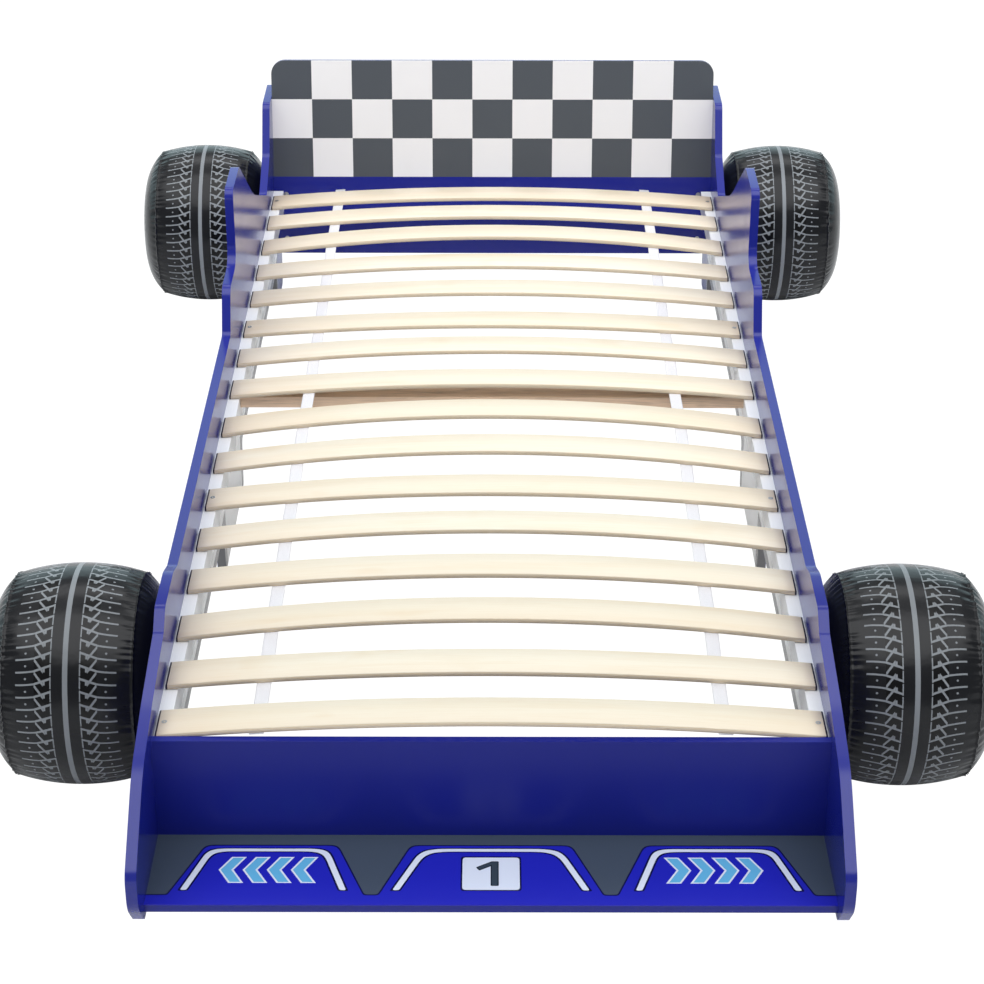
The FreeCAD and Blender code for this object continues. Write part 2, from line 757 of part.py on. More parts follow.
def write_nodes():
    nodes = all_nodes()
    total_length = max(panel_end_y, rear_axle_y + wheel_radius)
    for name, shape in nodes.items():
        placed = shape.copy()
        placed.translate(Y * (-total_length / 2))
        placed.exportStep("parts/%s.step" % name)
        print(name, len(placed.Solids), "solids, valid", placed.isValid())
    print("length", total_length)


write_nodes()
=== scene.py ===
"""The looks of a child's racing-car bed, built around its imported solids.

The file is laid out as an add-on and run as a script: each operator makes one group of pieces,
and the panel in the sidebar lists them. Lengths are metres, in the frame of the solids.
"""
import math

import bmesh
import bpy
import numpy as np
from mathutils import Matrix, Vector


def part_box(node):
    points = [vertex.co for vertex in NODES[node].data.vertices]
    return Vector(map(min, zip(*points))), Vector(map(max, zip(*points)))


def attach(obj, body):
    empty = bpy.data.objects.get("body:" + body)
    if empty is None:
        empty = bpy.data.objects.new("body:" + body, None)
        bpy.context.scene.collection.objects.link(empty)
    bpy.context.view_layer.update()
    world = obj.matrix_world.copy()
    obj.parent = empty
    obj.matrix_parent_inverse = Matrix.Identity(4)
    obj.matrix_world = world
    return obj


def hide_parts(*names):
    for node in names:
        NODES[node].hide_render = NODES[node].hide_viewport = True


bl_info = {
    "name": "Racing-car bed",
    "version": (1, 0, 0),
    "blender": (4, 5, 0),
    "location": "3D View > Sidebar > Car bed",
    "description": "Lacquered boards, bowed slats, webbing, inflated wheels and fixings of a child's car bed",
    "category": "Object",
}

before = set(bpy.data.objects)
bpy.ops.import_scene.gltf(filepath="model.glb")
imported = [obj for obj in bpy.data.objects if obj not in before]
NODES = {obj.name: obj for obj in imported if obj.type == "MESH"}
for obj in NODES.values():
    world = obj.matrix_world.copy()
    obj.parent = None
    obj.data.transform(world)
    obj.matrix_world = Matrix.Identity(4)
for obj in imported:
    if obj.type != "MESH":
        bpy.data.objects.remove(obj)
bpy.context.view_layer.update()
MM = 0.001

PANEL_LOW, PANEL_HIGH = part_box("side_panel_front_right")
RAIL_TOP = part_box("slat_rail_front_right")[1].z
SHELF_LOW, SHELF_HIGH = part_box("nose_shelf")
BULKHEAD_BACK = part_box("nose_bulkhead")[1].y
HEADBOARD_LOW, HEADBOARD_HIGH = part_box("headboard")
SLATS = ["slat_%02d" % (i + 1) for i in range(16)]
SLAT_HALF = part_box(SLATS[0])[1].x
UNDERSIDE = 84 * MM             # the side panels' lower edge between their feet
BOARD_THICKNESS = 12 * MM       # shelf, bulkhead and headboard
FACE_SKIN = 0.6 * MM            # how far round an edge a face's paint reaches
PRINT_SKIN = 1.2 * MM           # the same for a print
SAME_POINT = 0.02 * MM          # points nearer than this are one
SIDES = ("left", "right")
ENDS = ("front", "rear")
WHEEL_STEPS = 6                 # corners round the wheel for each printed block
TURNED_WHEEL = "wheel_front_right"      # its tread points the other way


# ---- Settings ------------------------------------------------------------------------------------
class BoardSettings(bpy.types.PropertyGroup):
    """Lacquered boards and their prints."""
    blue: bpy.props.FloatVectorProperty(
        name="Lacquer blue", description="Colour of the lacquer", subtype="COLOR",
        size=3, min=0, max=1, default=(0.010, 0.017, 0.25))
    print_blue: bpy.props.FloatVectorProperty(
        name="Print blue", description="Blue of the nose shelf's print", subtype="COLOR",
        size=3, min=0, max=1, default=(0.014, 0.017, 0.44))
    edge_round: bpy.props.FloatProperty(
        name="Edge rounding", description="Radius of the boards' edges",
        default=1.6 * MM, unit="LENGTH")
    gloss: bpy.props.FloatProperty(
        name="Gloss roughness", description="Roughness of the lacquer", default=0.2, min=0, max=1)
    primer: bpy.props.FloatVectorProperty(
        name="Primer", description="Pale inside of the side panels, below the slats", subtype="COLOR",
        size=3, min=0, max=1, default=(0.93, 0.94, 0.95))
    lower_band: bpy.props.FloatVectorProperty(
        name="Lower band", description="Grey border of the side panels' inside", subtype="COLOR",
        size=3, min=0, max=1, default=(0.20, 0.20, 0.21))
    lower_band_width: bpy.props.FloatProperty(
        name="Lower band width", description="Width of that border", default=22 * MM, unit="LENGTH")
    print_grey: bpy.props.FloatVectorProperty(
        name="Print grey", description="Grey field of the nose shelf", subtype="COLOR",
        size=3, min=0, max=1, default=(0.053, 0.072, 0.104))
    chequer_white: bpy.props.FloatVectorProperty(
        name="Chequer white", description="White squares of the headboard", subtype="COLOR",
        size=3, min=0, max=1, default=(0.88, 0.87, 0.88))
    print_white: bpy.props.FloatVectorProperty(
        name="Print white", description="White lines and number plate of the nose shelf", subtype="COLOR",
        size=3, min=0, max=1, default=(0.66, 0.72, 0.86))
    print_dark: bpy.props.FloatVectorProperty(
        name="Print dark", description="Dark outlines on the nose shelf", subtype="COLOR",
        size=3, min=0, max=1, default=(0.004, 0.005, 0.06))
    print_sky: bpy.props.FloatVectorProperty(
        name="Print light blue", description="Arrow bands on the nose shelf", subtype="COLOR",
        size=3, min=0, max=1, default=(0.12, 0.42, 0.70))
    chequer_dark: bpy.props.FloatVectorProperty(
        name="Chequer grey", description="Dark squares of the headboard", subtype="COLOR",
        size=3, min=0, max=1, default=(0.075, 0.085, 0.10))
    chequer_columns: bpy.props.IntProperty(
        name="Chequer columns", description="Squares across the headboard", default=11, min=1)
    chequer_height: bpy.props.FloatProperty(
        name="Chequer height", description="Height of a square, up the slope",
        default=80.2 * MM, unit="LENGTH")
    chequer_start: bpy.props.FloatProperty(
        name="Chequer start", description="Lower edge of the squares, up the slope",
        default=161.2 * MM, unit="LENGTH")
    headboard_lean: bpy.props.FloatProperty(
        name="Headboard lean", description="Angle of the headboard from upright",
        default=math.radians(9.85), unit="ROTATION")


class BaseSettings(bpy.types.PropertyGroup):
    """Rails, slats and webbing."""
    slat_thickness: bpy.props.FloatProperty(
        name="Slat thickness", description="Thickness of a sprung slat", default=8 * MM, unit="LENGTH")
    slat_round: bpy.props.FloatProperty(
        name="Slat edge rounding", description="Radius of a slat's edges", default=1.4 * MM, unit="LENGTH")
    slat_plies: bpy.props.IntProperty(
        name="Plies", description="Layers of veneer in a slat", default=7, min=1)
    birch: bpy.props.FloatVectorProperty(
        name="Birch", description="Colour of the slats", subtype="COLOR",
        size=3, min=0, max=1, default=(0.87, 0.79, 0.655))
    birch_dark: bpy.props.FloatVectorProperty(
        name="Birch grain", description="Darker grain and knots of the slats", subtype="COLOR",
        size=3, min=0, max=1, default=(0.74, 0.57, 0.36))
    rail_white: bpy.props.FloatVectorProperty(
        name="Rail white", description="Paint of the side rails", subtype="COLOR",
        size=3, min=0, max=1, default=(0.94, 0.95, 0.96))
    pine: bpy.props.FloatVectorProperty(
        name="Pine", description="Raw wood of the crossbar", subtype="COLOR",
        size=3, min=0, max=1, default=(0.98, 0.72, 0.52))
    strap_white: bpy.props.FloatVectorProperty(
        name="Webbing white", description="Colour of the webbing", subtype="COLOR",
        size=3, min=0, max=1, default=(0.86, 0.85, 0.88))
    strap_sag: bpy.props.FloatProperty(
        name="Webbing sag", description="Sag between two slats", default=0.8 * MM, unit="LENGTH")


class WheelSettings(bpy.types.PropertyGroup):
    """Inflated wheels."""
    pvc: bpy.props.FloatVectorProperty(
        name="Film black", description="Colour of the wheel's film", subtype="COLOR",
        size=3, min=0, max=1, default=(0.006, 0.0065, 0.008))
    tread_grey: bpy.props.FloatVectorProperty(
        name="Tread grey", description="Printed lines of the tread", subtype="COLOR",
        size=3, min=0, max=1, default=(0.25, 0.27, 0.29))
    repeats: bpy.props.IntProperty(
        name="Tread repeats", description="Printed blocks round the wheel", default=55, min=4)
    crown_drop: bpy.props.FloatProperty(
        name="Crown", description="How much smaller the radius is at the weld",
        default=14 * MM, unit="LENGTH")
    weld_width: bpy.props.FloatProperty(
        name="Weld to weld", description="Width between the two welds", default=184 * MM, unit="LENGTH")
    flat_radius: bpy.props.FloatProperty(
        name="Flat middle", description="Radius of a side wall's flat middle", default=72 * MM, unit="LENGTH")
    lip: bpy.props.FloatProperty(
        name="Weld lip", description="Height of the welded seam", default=1.5 * MM, unit="LENGTH")
    pucker: bpy.props.FloatProperty(
        name="Puckers", description="Depth of the wrinkles beside the welds", default=3.2 * MM, unit="LENGTH")
    seed: bpy.props.IntProperty(name="Seed", description="Start of the wrinkles' random numbers", default=7)


class StageSettings(bpy.types.PropertyGroup):
    """Floor, light and camera."""
    lens: bpy.props.FloatProperty(name="Lens", description="Focal length in millimetres", default=87.44)
    camera_at: bpy.props.FloatVectorProperty(
        name="Camera", description="Place of the camera", size=3, subtype="TRANSLATION",
        unit="LENGTH", default=(0.0005, -3.654, 2.065))
    camera_tilt: bpy.props.FloatProperty(
        name="Tilt", description="Camera's angle from straight down",
        default=math.radians(61.549), unit="ROTATION")
    camera_roll: bpy.props.FloatProperty(
        name="Roll", description="Camera's roll", default=0.0016, unit="ROTATION")
    fill: bpy.props.FloatProperty(
        name="Fill", description="Strength of the soft light all round", default=0.3)
    top_light: bpy.props.FloatProperty(
        name="Top light", description="Strength of the lit ceiling", default=2.6)
    wall_light: bpy.props.FloatProperty(
        name="Wall light", description="Strength of the lit wall behind the headboard", default=1.2)
    lamp: bpy.props.FloatProperty(
        name="Headboard lamp", description="Power of the soft lamp on the headboard, in watts", default=4.8)
    floor_grey: bpy.props.FloatProperty(
        name="Floor", description="How light the floor is", default=0.8, min=0, max=1)


GROUPS = (("boards", BoardSettings), ("base", BaseSettings), ("wheels", WheelSettings),
          ("stage", StageSettings))


# ---- Node writing --------------------------------------------------------------------------------
class Value:
    """An output of a node tree. Sums written with it become maths nodes."""

    def __init__(self, tree, socket):
        self.tree = tree
        self.socket = socket

    def maths(self, operation, *others):
        return maths(self.tree, operation, self, *others)

    def __add__(self, other):
        return self.maths("ADD", other)

    def __sub__(self, other):
        return self.maths("SUBTRACT", other)

    def __mul__(self, other):
        return self.maths("MULTIPLY", other)

    def __truediv__(self, other):
        return self.maths("DIVIDE", other)

    def __rsub__(self, other):
        return maths(self.tree, "SUBTRACT", other, self)

    def __abs__(self):
        return self.maths("ABSOLUTE")

    def above(self, edge, soft=0.0):
        """1 where the value is above edge, changing over twice soft."""
        if not soft:
            return self.maths("GREATER_THAN", edge)
        return spread_range(self, edge - soft, edge + soft, 0.0, 1.0)

    def below(self, edge, soft=0.0):
        if not soft:
            return self.maths("LESS_THAN", edge)
        return spread_range(self, edge - soft, edge + soft, 1.0, 0.0)

    __radd__ = __add__


def feed(tree, value, socket):
    if isinstance(value, Value):
        tree.links.new(value.socket, socket)
    elif isinstance(value, bpy.types.NodeSocket):
        tree.links.new(value, socket)
    elif socket.type == "RGBA" and len(value) == 3:
        socket.default_value = (*value, 1.0)
    else:
        socket.default_value = value


def place(tree, kind, inputs=None, **settings):
    """A node with its settings, and its inputs by name or number."""
    made = tree.nodes.new(kind)
    for name, value in settings.items():
        setattr(made, name, value)
    for name, value in (inputs or {}).items():
        feed(tree, value, made.inputs[name])
    return made


def out(tree, node, name=0):
    return Value(tree, node.outputs[name])


def first_out(tree, kind, inputs=None, **settings):
    """The first output of a new node."""
    return out(tree, place(tree, kind, inputs, **settings))


def maths(tree, operation, *values):
    node = place(tree, "ShaderNodeMath", operation=operation)
    for slot, value in zip(node.inputs, values):
        feed(tree, value, slot)
    return out(tree, node)


def spread_range(value, low, high, first, last):
    """The value's way from low to high, spread from first to last and held at both ends."""
    return first_out(value.tree, "ShaderNodeMapRange", {0: value, 1: low, 2: high, 3: first, 4: last})


def split(tree, vector):
    node = place(tree, "ShaderNodeSeparateXYZ", {0: vector})
    return [out(tree, node, i) for i in range(3)]


def join(tree, x, y, z):
    return first_out(tree, "ShaderNodeCombineXYZ", {0: x, 1: y, 2: z})


def mix_colour(tree, factor, first, second):
    node = place(tree, "ShaderNodeMix", {0: factor}, data_type="RGBA")
    feed(tree, first, node.inputs[6])
    feed(tree, second, node.inputs[7])
    return out(tree, node, 2)


def object_place(tree):
    return out(tree, place(tree, "ShaderNodeTexCoord"), "Object")


def noise(tree, vector, scale, detail=2.0, roughness=0.5, distortion=0.0):
    return first_out(tree, "ShaderNodeTexNoise", {
        "Vector": vector, "Scale": scale, "Detail": detail, "Roughness": roughness,
        "Distortion": distortion})


def stretched(tree, vector, scale):
    return first_out(tree, "ShaderNodeMapping", {"Vector": vector, "Scale": scale})


def turned(tree, vector):
    """The place with its first two axes changed over, for grain that runs along Y."""
    x, y, z = split(tree, vector)
    return join(tree, y, x, z)


def shaded(colour, share):
    return tuple(part * share for part in colour)


def new_tree(name, tree_type, inputs, outputs):
    """A node tree; inputs are (kind, name, default), outputs are (kind, name)."""
    tree = bpy.data.node_groups.new(name, tree_type)
    for kind, label, default in inputs:
        socket = tree.interface.new_socket(label, in_out="INPUT", socket_type="NodeSocket" + kind)
        if default is not None:
            socket.default_value = (*default, 1.0) if kind == "Color" else default
    for kind, label in outputs:
        tree.interface.new_socket(label, in_out="OUTPUT", socket_type="NodeSocket" + kind)
    start = tree.nodes.new("NodeGroupInput")
    end = tree.nodes.new("NodeGroupOutput")
    given = {socket.name: Value(tree, socket) for socket in start.outputs if socket.name}
    return tree, given, end


def new_group(name, inputs, outputs):
    return new_tree(name, "ShaderNodeTree", inputs, outputs)


def use_group(tree, group, **inputs):
    node = place(tree, "ShaderNodeGroup", node_tree=group)
    for name, value in inputs.items():
        feed(tree, value, node.inputs[name])
    return {socket.name: Value(tree, socket) for socket in node.outputs}


def new_material(name, roughness=0.5, metallic=0.0, ior=1.5, sheen=0.0):
    material = bpy.data.materials.new(name)
    material.use_nodes = True
    tree = material.node_tree
    shader = tree.nodes["Principled BSDF"]
    uniform = {"Roughness": roughness, "Metallic": metallic, "IOR": ior, "Sheen Weight": sheen}
    for socket, value in uniform.items():
        shader.inputs[socket].default_value = value
    return material, tree, shader


def finish_with(tree, shader, colour, roughness=None, height=None, depth=MM, strength=1.0):
    """Feeds the shader; the height stands depth metres high."""
    feed(tree, colour, shader.inputs["Base Color"])
    if roughness is not None:
        feed(tree, roughness, shader.inputs["Roughness"])
    if height is not None:
        bump = place(tree, "ShaderNodeBump", {"Height": height, "Distance": depth, "Strength": strength})
        tree.links.new(bump.outputs[0], shader.inputs["Normal"])


# ---- Shared effects ------------------------------------------------------------------------------
def surface_group():
    """Uneven gloss and fine relief of a sprayed or moulded surface."""
    tree, given, end = new_group("uneven surface", [
        ("Vector", "Place", (0, 0, 0)), ("Float", "Relief size", 0.004), ("Float", "Roughness", 0.1),
        ("Float", "Unevenness", 0.03)], [("Float", "Roughness"), ("Float", "Height")])
    relief = noise(tree, given["Place"], maths(tree, "DIVIDE", 1.0, given["Relief size"]), detail=1.0)
    cloud = noise(tree, given["Place"], 9.0, detail=3.0)
    smear = noise(tree, stretched(tree, given["Place"], (40, 14, 25)), 1.0)
    patch = (cloud + smear - 1.0) * given["Unevenness"] * 2.0
    feed(tree, given["Roughness"] + patch, end.inputs["Roughness"])
    feed(tree, relief, end.inputs["Height"])
    return tree


def grain_group():
    """Long wood grain: fine fibres, slow bands and a few knots along the first axis."""
    tree, given, end = new_group("wood grain", [
        ("Vector", "Place", (0, 0, 0)), ("Color", "Light", (0.9, 0.8, 0.6)),
        ("Color", "Dark", (0.6, 0.4, 0.2)), ("Float", "Bands", 0.35), ("Float", "Fibres", 0.2),
        ("Float", "Knots", 0.5)], [("Color", "Color"), ("Float", "Height")])
    where = given["Place"]
    bands = noise(tree, stretched(tree, where, (2.2, 34, 60)), 1.0,
                  detail=3.0, roughness=0.55, distortion=0.9)
    fibres = noise(tree, stretched(tree, where, (22, 620, 620)), 1.0, detail=3.0, roughness=0.6)
    spots = noise(tree, stretched(tree, where, (9, 22, 22)), 1.0,
                  detail=1.0, roughness=0.4, distortion=0.4)
    knots = spots.above(0.70, 0.06) * given["Knots"]
    lines = bands.above(0.60, 0.16) * given["Bands"] + fibres.above(0.58, 0.14) * given["Fibres"]
    amount = maths(tree, "MINIMUM", lines + knots, 1.0)
    feed(tree, mix_colour(tree, amount, given["Light"], given["Dark"]), end.inputs["Color"])
    feed(tree, fibres, end.inputs["Height"])
    return tree


def weave_group():
    """Threads over and under, from a flat place in metres."""
    tree, given, end = new_group("weave", [("Vector", "Place", (0, 0, 0)), ("Float", "Thread", 0.001)],
                                 [("Float", "Thread"), ("Float", "Gap")])
    x, y, z = split(tree, given["Place"])
    across = maths(tree, "SINE", x / given["Thread"] * math.pi)
    along = maths(tree, "SINE", y / given["Thread"] * math.pi)
    gap = abs(across).below(0.25, 0.15) * abs(along).below(0.25, 0.15)
    feed(tree, across * along * 0.5 + 0.5, end.inputs["Thread"])
    feed(tree, gap, end.inputs["Gap"])
    return tree


class Finishes:
    """Every material, made once."""

    def __init__(self, scene):
        self.boards = scene.bed_boards
        self.base = scene.bed_base
        self.wheels = scene.bed_wheels
        self.surface = surface_group()
        self.grain = grain_group()
        self.weave = weave_group()
        self.made = {}

    def get(self, name):
        if name not in self.made:
            self.made[name] = getattr(self, name)()
        return self.made[name]

    def uneven(self, tree, roughness, unevenness, relief):
        """Uneven roughness, and bumps about relief metres apart, as on a sprayed surface."""
        return use_group(tree, self.surface, Place=object_place(tree), Roughness=roughness,
                         Unevenness=unevenness, **{"Relief size": relief})

    def wood(self, tree, where, light, dark, bands, fibres, knots):
        """Colour and fibres of wood whose grain runs along the first axis of where."""
        return use_group(tree, self.grain, Place=where, Light=light, Dark=dark,
                         Bands=bands, Fibres=fibres, Knots=knots)

    def lacquer_over(self, name, paint, duller=0.0, ior=1.5):
        """Glossy lacquer over a colour that paint(tree) gives."""
        gloss = self.boards.gloss + duller
        material, tree, shader = new_material(name, gloss, ior=ior)
        uneven = self.uneven(tree, gloss, unevenness=0.02, relief=6 * MM)
        finish_with(tree, shader, paint(tree), uneven["Roughness"], uneven["Height"],
                    depth=0.02 * MM, strength=0.6)
        return material

    def bulkhead_lacquer(self):
        return self.lacquer_over("bulkhead_lacquer", self.plain_blue, duller=0.1, ior=1.33)

    def panel_lacquer(self):
        return self.lacquer_over("panel_lacquer", self.paint_panel)

    def shelf_print(self):
        return self.lacquer_over("shelf_print", self.paint_shelf, duller=0.05, ior=1.4)

    def headboard_print(self):
        return self.lacquer_over("headboard_print", self.paint_chequers)

    def plain_blue(self, tree):
        blue = tuple(self.boards.blue)
        return mix_colour(tree, noise(tree, object_place(tree), 3.0), blue, shaded(blue, 0.93))

    def paint_panel(self, tree):
        """Blue, but primed inside and below the slats, with a darker grey band along the lower edge, inside
        and underneath.
        """
        boards = self.boards
        x, y, z = split(tree, object_place(tree))
        away = abs(x)
        inner = away.below(PANEL_LOW.x + FACE_SKIN)
        core = away.above(PANEL_LOW.x + FACE_SKIN) * away.below(PANEL_HIGH.x - FACE_SKIN)
        by_slats = y.above(BULKHEAD_BACK) * y.below(HEADBOARD_LOW.y + BOARD_THICKNESS)
        primed = inner * by_slats * z.below(RAIL_TOP - 2 * MM)
        colour = mix_colour(tree, primed, self.plain_blue(tree), tuple(boards.primer))
        foot = 0.0
        for start, end in panel_feet():
            foot = foot + y.above(start + boards.lower_band_width) * y.below(end - boards.lower_band_width)
        # A darker grey band along the panels' lower edge: on the inside, up from the edge but not on the
        # feet, and on the edge's underside.
        border = inner * by_slats * z.below(UNDERSIDE + boards.lower_band_width) * (1.0 - foot)
        edge = core * by_slats * z.below(UNDERSIDE + 1 * MM)
        return mix_colour(tree, maths(tree, "MAXIMUM", border, edge), colour, tuple(boards.lower_band))

    def paint_chequers(self, tree):
        """Squares on the front face of the leaning headboard, and blue below and round them."""
        boards = self.boards
        lean = boards.headboard_lean
        x, y, z = split(tree, object_place(tree))
        foot = headboard_foot()
        back, rise = y - foot.y, z - foot.z
        up = back * math.sin(lean) + rise * math.cos(lean)
        deep = back * math.cos(lean) - rise * math.sin(lean)
        width = HEADBOARD_HIGH.x - HEADBOARD_LOW.x
        column = maths(tree, "FLOOR", (x - HEADBOARD_LOW.x) / (width / boards.chequer_columns))
        row = maths(tree, "FLOOR", (up - boards.chequer_start) / boards.chequer_height)
        odd = maths(tree, "PINGPONG", column + row, 1.0)
        squares = mix_colour(tree, odd, tuple(boards.chequer_dark), tuple(boards.chequer_white))
        printed = up.above(boards.chequer_start) * deep.below(PRINT_SKIN)
        return mix_colour(tree, printed, self.plain_blue(tree), squares)

    def paint_shelf(self, tree):
        """Three bonnets with a white line each, a number plate and two bands of arrows.

        Its numbers are millimetres across and back from the middle of the shelf's front edge.
        """
        boards = self.boards
        x, y, z = split(tree, object_place(tree))
        across = x / MM
        back = (y - SHELF_LOW.y) / MM
        side = abs(across)
        white, dark = tuple(boards.print_white), tuple(boards.print_dark)

        def lay(colour, shape, edge, ink):
            """The colour, with ink where the distance outside the shape is below edge."""
            return mix_colour(tree, shape.below(edge), colour, ink)

        def bonnet(off_centre, half_width, slope, far, corner, leg=1.0):
            """Distance outside a bonnet, half_width each side at its far edge.

            The flanks widen by slope towards the front; leg thickens the line along them.
            """
            edge = abs(off_centre) - half_width - (far - back) * slope
            flank = edge * (1 / math.hypot(1, slope) / leg)
            return maths(tree, "SMOOTH_MAX", flank, back - far, corner)

        def rectangle(off_x, off_y, half_width, half_height, corner):
            return maths(tree, "SMOOTH_MAX", abs(off_x) - half_width, abs(off_y) - half_height, corner)

        near_strip = back - 21.0
        middle = bonnet(across, half_width=108.0, slope=0.375, far=128.0, corner=16.0)
        outer = bonnet(side - 296.0, half_width=89.0, slope=0.375, far=128.0, corner=16.0)
        field = maths(tree, "SMOOTH_MIN", maths(tree, "MINIMUM", middle, outer), near_strip, 6.0)
        colour = mix_colour(tree, field.above(0.0), tuple(boards.print_blue), tuple(boards.print_grey))
        colour = lay(colour, abs(field), 1.1, dark)

        half_line, line_rim, line_end = 3.0, 2.0, 31.0
        middle = bonnet(across, half_width=90.0, slope=0.41, far=117.5, corner=30.0, leg=1.35)
        outer = bonnet(side - 300.0, half_width=77.0, slope=0.325, far=117.5, corner=24.0, leg=1.35)
        line = maths(tree, "MINIMUM", abs(middle), abs(outer))
        line = maths(tree, "SMOOTH_MAX", line, line_end + half_line - back, 4.0)
        colour = lay(lay(colour, line, half_line + line_rim, dark), line, half_line, white)

        plate = rectangle(across, back - 66.7, half_width=38.0, half_height=34.8, corner=8.0)
        colour = lay(lay(colour, plate, 2.4, dark), plate, 0.0, white)

        stem = rectangle(across - 4.9, back - 66.8, half_width=5.4, half_height=26.5, corner=3.0)
        flag_x, flag_y, cosine, sine = across + 7.0, back - 83.5, 0.85, 0.53
        flag = rectangle(flag_x * cosine + flag_y * sine, flag_y * cosine - flag_x * sine,
                         half_width=13.0, half_height=4.3, corner=3.0)
        figure = maths(tree, "MINIMUM", stem, flag)
        figure_rim, figure_ink = (0.012, 0.02, 0.03), (0.035, 0.052, 0.07)
        colour = lay(lay(colour, figure, 0.0, figure_rim), figure, -1.6, figure_ink)

        off_band, half_pitch, half_band = abs(back - 74.0), 16.0, 28.0
        slid = side - 304.7 + off_band * 0.55
        arrow = maths(tree, "PINGPONG", slid / half_pitch + 401.0, 1.0)
        inside = maths(tree, "MAXIMUM", abs(slid) - 4 * half_pitch, off_band - half_band)
        arrows = maths(tree, "MAXIMUM", (arrow - 0.62) * 11.0, inside)
        colour = lay(lay(colour, arrows, 0.0, white), arrows, -2.0, tuple(boards.print_sky))
        return mix_colour(tree, z.above(SHELF_HIGH.z - PRINT_SKIN), self.plain_blue(tree), colour)

    def white_rail(self):
        material, tree, shader = new_material("white_rail", 0.38)
        light = tuple(self.base.rail_white)
        uneven = self.uneven(tree, 0.36, unevenness=0.08, relief=3 * MM)
        where = turned(tree, object_place(tree))
        wood = self.wood(tree, where, light, shaded(light, 0.86), bands=0.2, fibres=0.25, knots=0.1)
        finish_with(tree, shader, wood["Color"], uneven["Roughness"], wood["Height"],
                    depth=0.1 * MM, strength=0.3)
        return material

    def birch_ply(self):
        """Birch faces with grain along the slat, edges that show the veneers, and painted shade: darker
        patches towards the ends and near-black ends for the crevice at the panels.
        """
        base = self.base
        light, dark = tuple(base.birch), tuple(base.birch_dark)
        material, tree, shader = new_material("birch_ply", 0.42)
        own = place(tree, "ShaderNodeAttribute", attribute_name="slat_place")
        number = out(tree, place(tree, "ShaderNodeAttribute", attribute_name="slat_number"), "Fac")
        x, y, z = split(tree, own.outputs["Vector"])
        grain_step = (3.7, 1.3, 0.9)    # from one slat's part of the grain to the next one's
        where = join(tree, *(part + number * step for part, step in zip((x, y, z), grain_step)))
        wood = self.wood(tree, where, light, dark, bands=0.30, fibres=0.16, knots=0.22)
        golden = 0.618                  # spreads the slats' tones evenly
        tone = maths(tree, "FRACT", number * golden)
        faces = mix_colour(tree, tone * 0.22, wood["Color"], shaded(dark, 0.92))
        # Painted shade: patchy darkening towards the slat ends, where they meet the panels.
        end_shade = abs(x).above(0.33, 0.11) * noise(tree, where, 4.0).above(0.5, 0.2) * 0.32
        faces = mix_colour(tree, end_shade, faces, dark)
        layer = maths(tree, "FRACT", (z / base.slat_thickness + 0.5) * (base.slat_plies / 2))
        plies = mix_colour(tree, layer.above(0.5, 0.06), shaded(light, 0.86), dark)
        edge = abs(z).below(base.slat_thickness / 2 - 0.5 * MM)
        colour = mix_colour(tree, edge, faces, plies)
        # Painted shade: each end's last few millimetres are near black, for the dark crevice between slat and
        # panel.
        crevice_shade_reach, crevice_shade = 2.6 * MM, (0.02, 0.01, 0.03)
        colour = mix_colour(tree, abs(x).above(SLAT_HALF - crevice_shade_reach), colour, crevice_shade)
        roughness = spread_range(wood["Height"], 0, 1, 0.36, 0.5)
        finish_with(tree, shader, colour, roughness, wood["Height"], depth=0.15 * MM, strength=0.5)
        return material

    def raw_pine(self):
        light = tuple(self.base.pine)
        material, tree, shader = new_material("raw_pine", 0.72)
        wood = self.wood(tree, object_place(tree), light, shaded(light, 0.5),
                         bands=0.6, fibres=0.5, knots=0.6)
        finish_with(tree, shader, wood["Color"], None, wood["Height"], depth=0.4 * MM, strength=0.8)
        return material

    def beech_dowel(self):
        material, tree, shader = new_material("beech_dowel", 0.6)
        where = turned(tree, object_place(tree))
        wood = self.wood(tree, where, (0.68, 0.48, 0.29), (0.42, 0.25, 0.12),
                         bands=0.4, fibres=0.5, knots=0.0)
        finish_with(tree, shader, wood["Color"], None, wood["Height"], depth=0.2 * MM, strength=0.6)
        return material

    def webbing(self):
        light = tuple(self.base.strap_white)
        material, tree, shader = new_material("webbing", 0.75, sheen=0.25)
        along = first_out(tree, "ShaderNodeUVMap", uv_map="cloth")
        woven = use_group(tree, self.weave, Place=along, Thread=1.1 * MM)
        # Painted shade: the threads are darker where they dip under, and darker still in the gaps between
        # them.
        colour = mix_colour(tree, woven["Thread"], shaded(light, 0.78), light)
        colour = mix_colour(tree, woven["Gap"], colour, shaded(light, 0.5))
        finish_with(tree, shader, colour, None, woven["Thread"], depth=0.3 * MM, strength=0.7)
        return material

    def black_pvc(self):
        material, tree, shader = new_material("black_pvc", 0.3)
        black = tuple(self.wheels.pvc)
        uneven = self.uneven(tree, 0.3, unevenness=0.06, relief=10 * MM)
        finish_with(tree, shader, black, uneven["Roughness"], uneven["Height"],
                    depth=0.2 * MM, strength=0.5)
        return material

    def wheel_film(self):
        """Glossy film with the tread's print, from the wheel's own UV map."""
        black = tuple(self.wheels.pvc)
        material, tree, shader = new_material("wheel_film", 0.22, ior=1.36)
        place_on_tread = first_out(tree, "ShaderNodeUVMap", uv_map="tread")
        marks = use_group(tree, tread_group(self.wheels.repeats), Place=place_on_tread)
        uneven = self.uneven(tree, 0.22, unevenness=0.06, relief=14 * MM)
        cloud = noise(tree, object_place(tree), 5.0)
        film = mix_colour(tree, cloud, black, shaded(black, 1.6))
        film = mix_colour(tree, marks["Band"], film, shaded(black, 0.35))
        worn = spread_range(cloud, 0.3, 0.7, 0.75, 1.0)
        colour = mix_colour(tree, marks["Line"] * worn, film, tuple(self.wheels.tread_grey))
        roughness = uneven["Roughness"] + marks["Line"] * 0.1
        finish_with(tree, shader, colour, roughness, uneven["Height"], depth=0.6 * MM, strength=0.6)
        return material

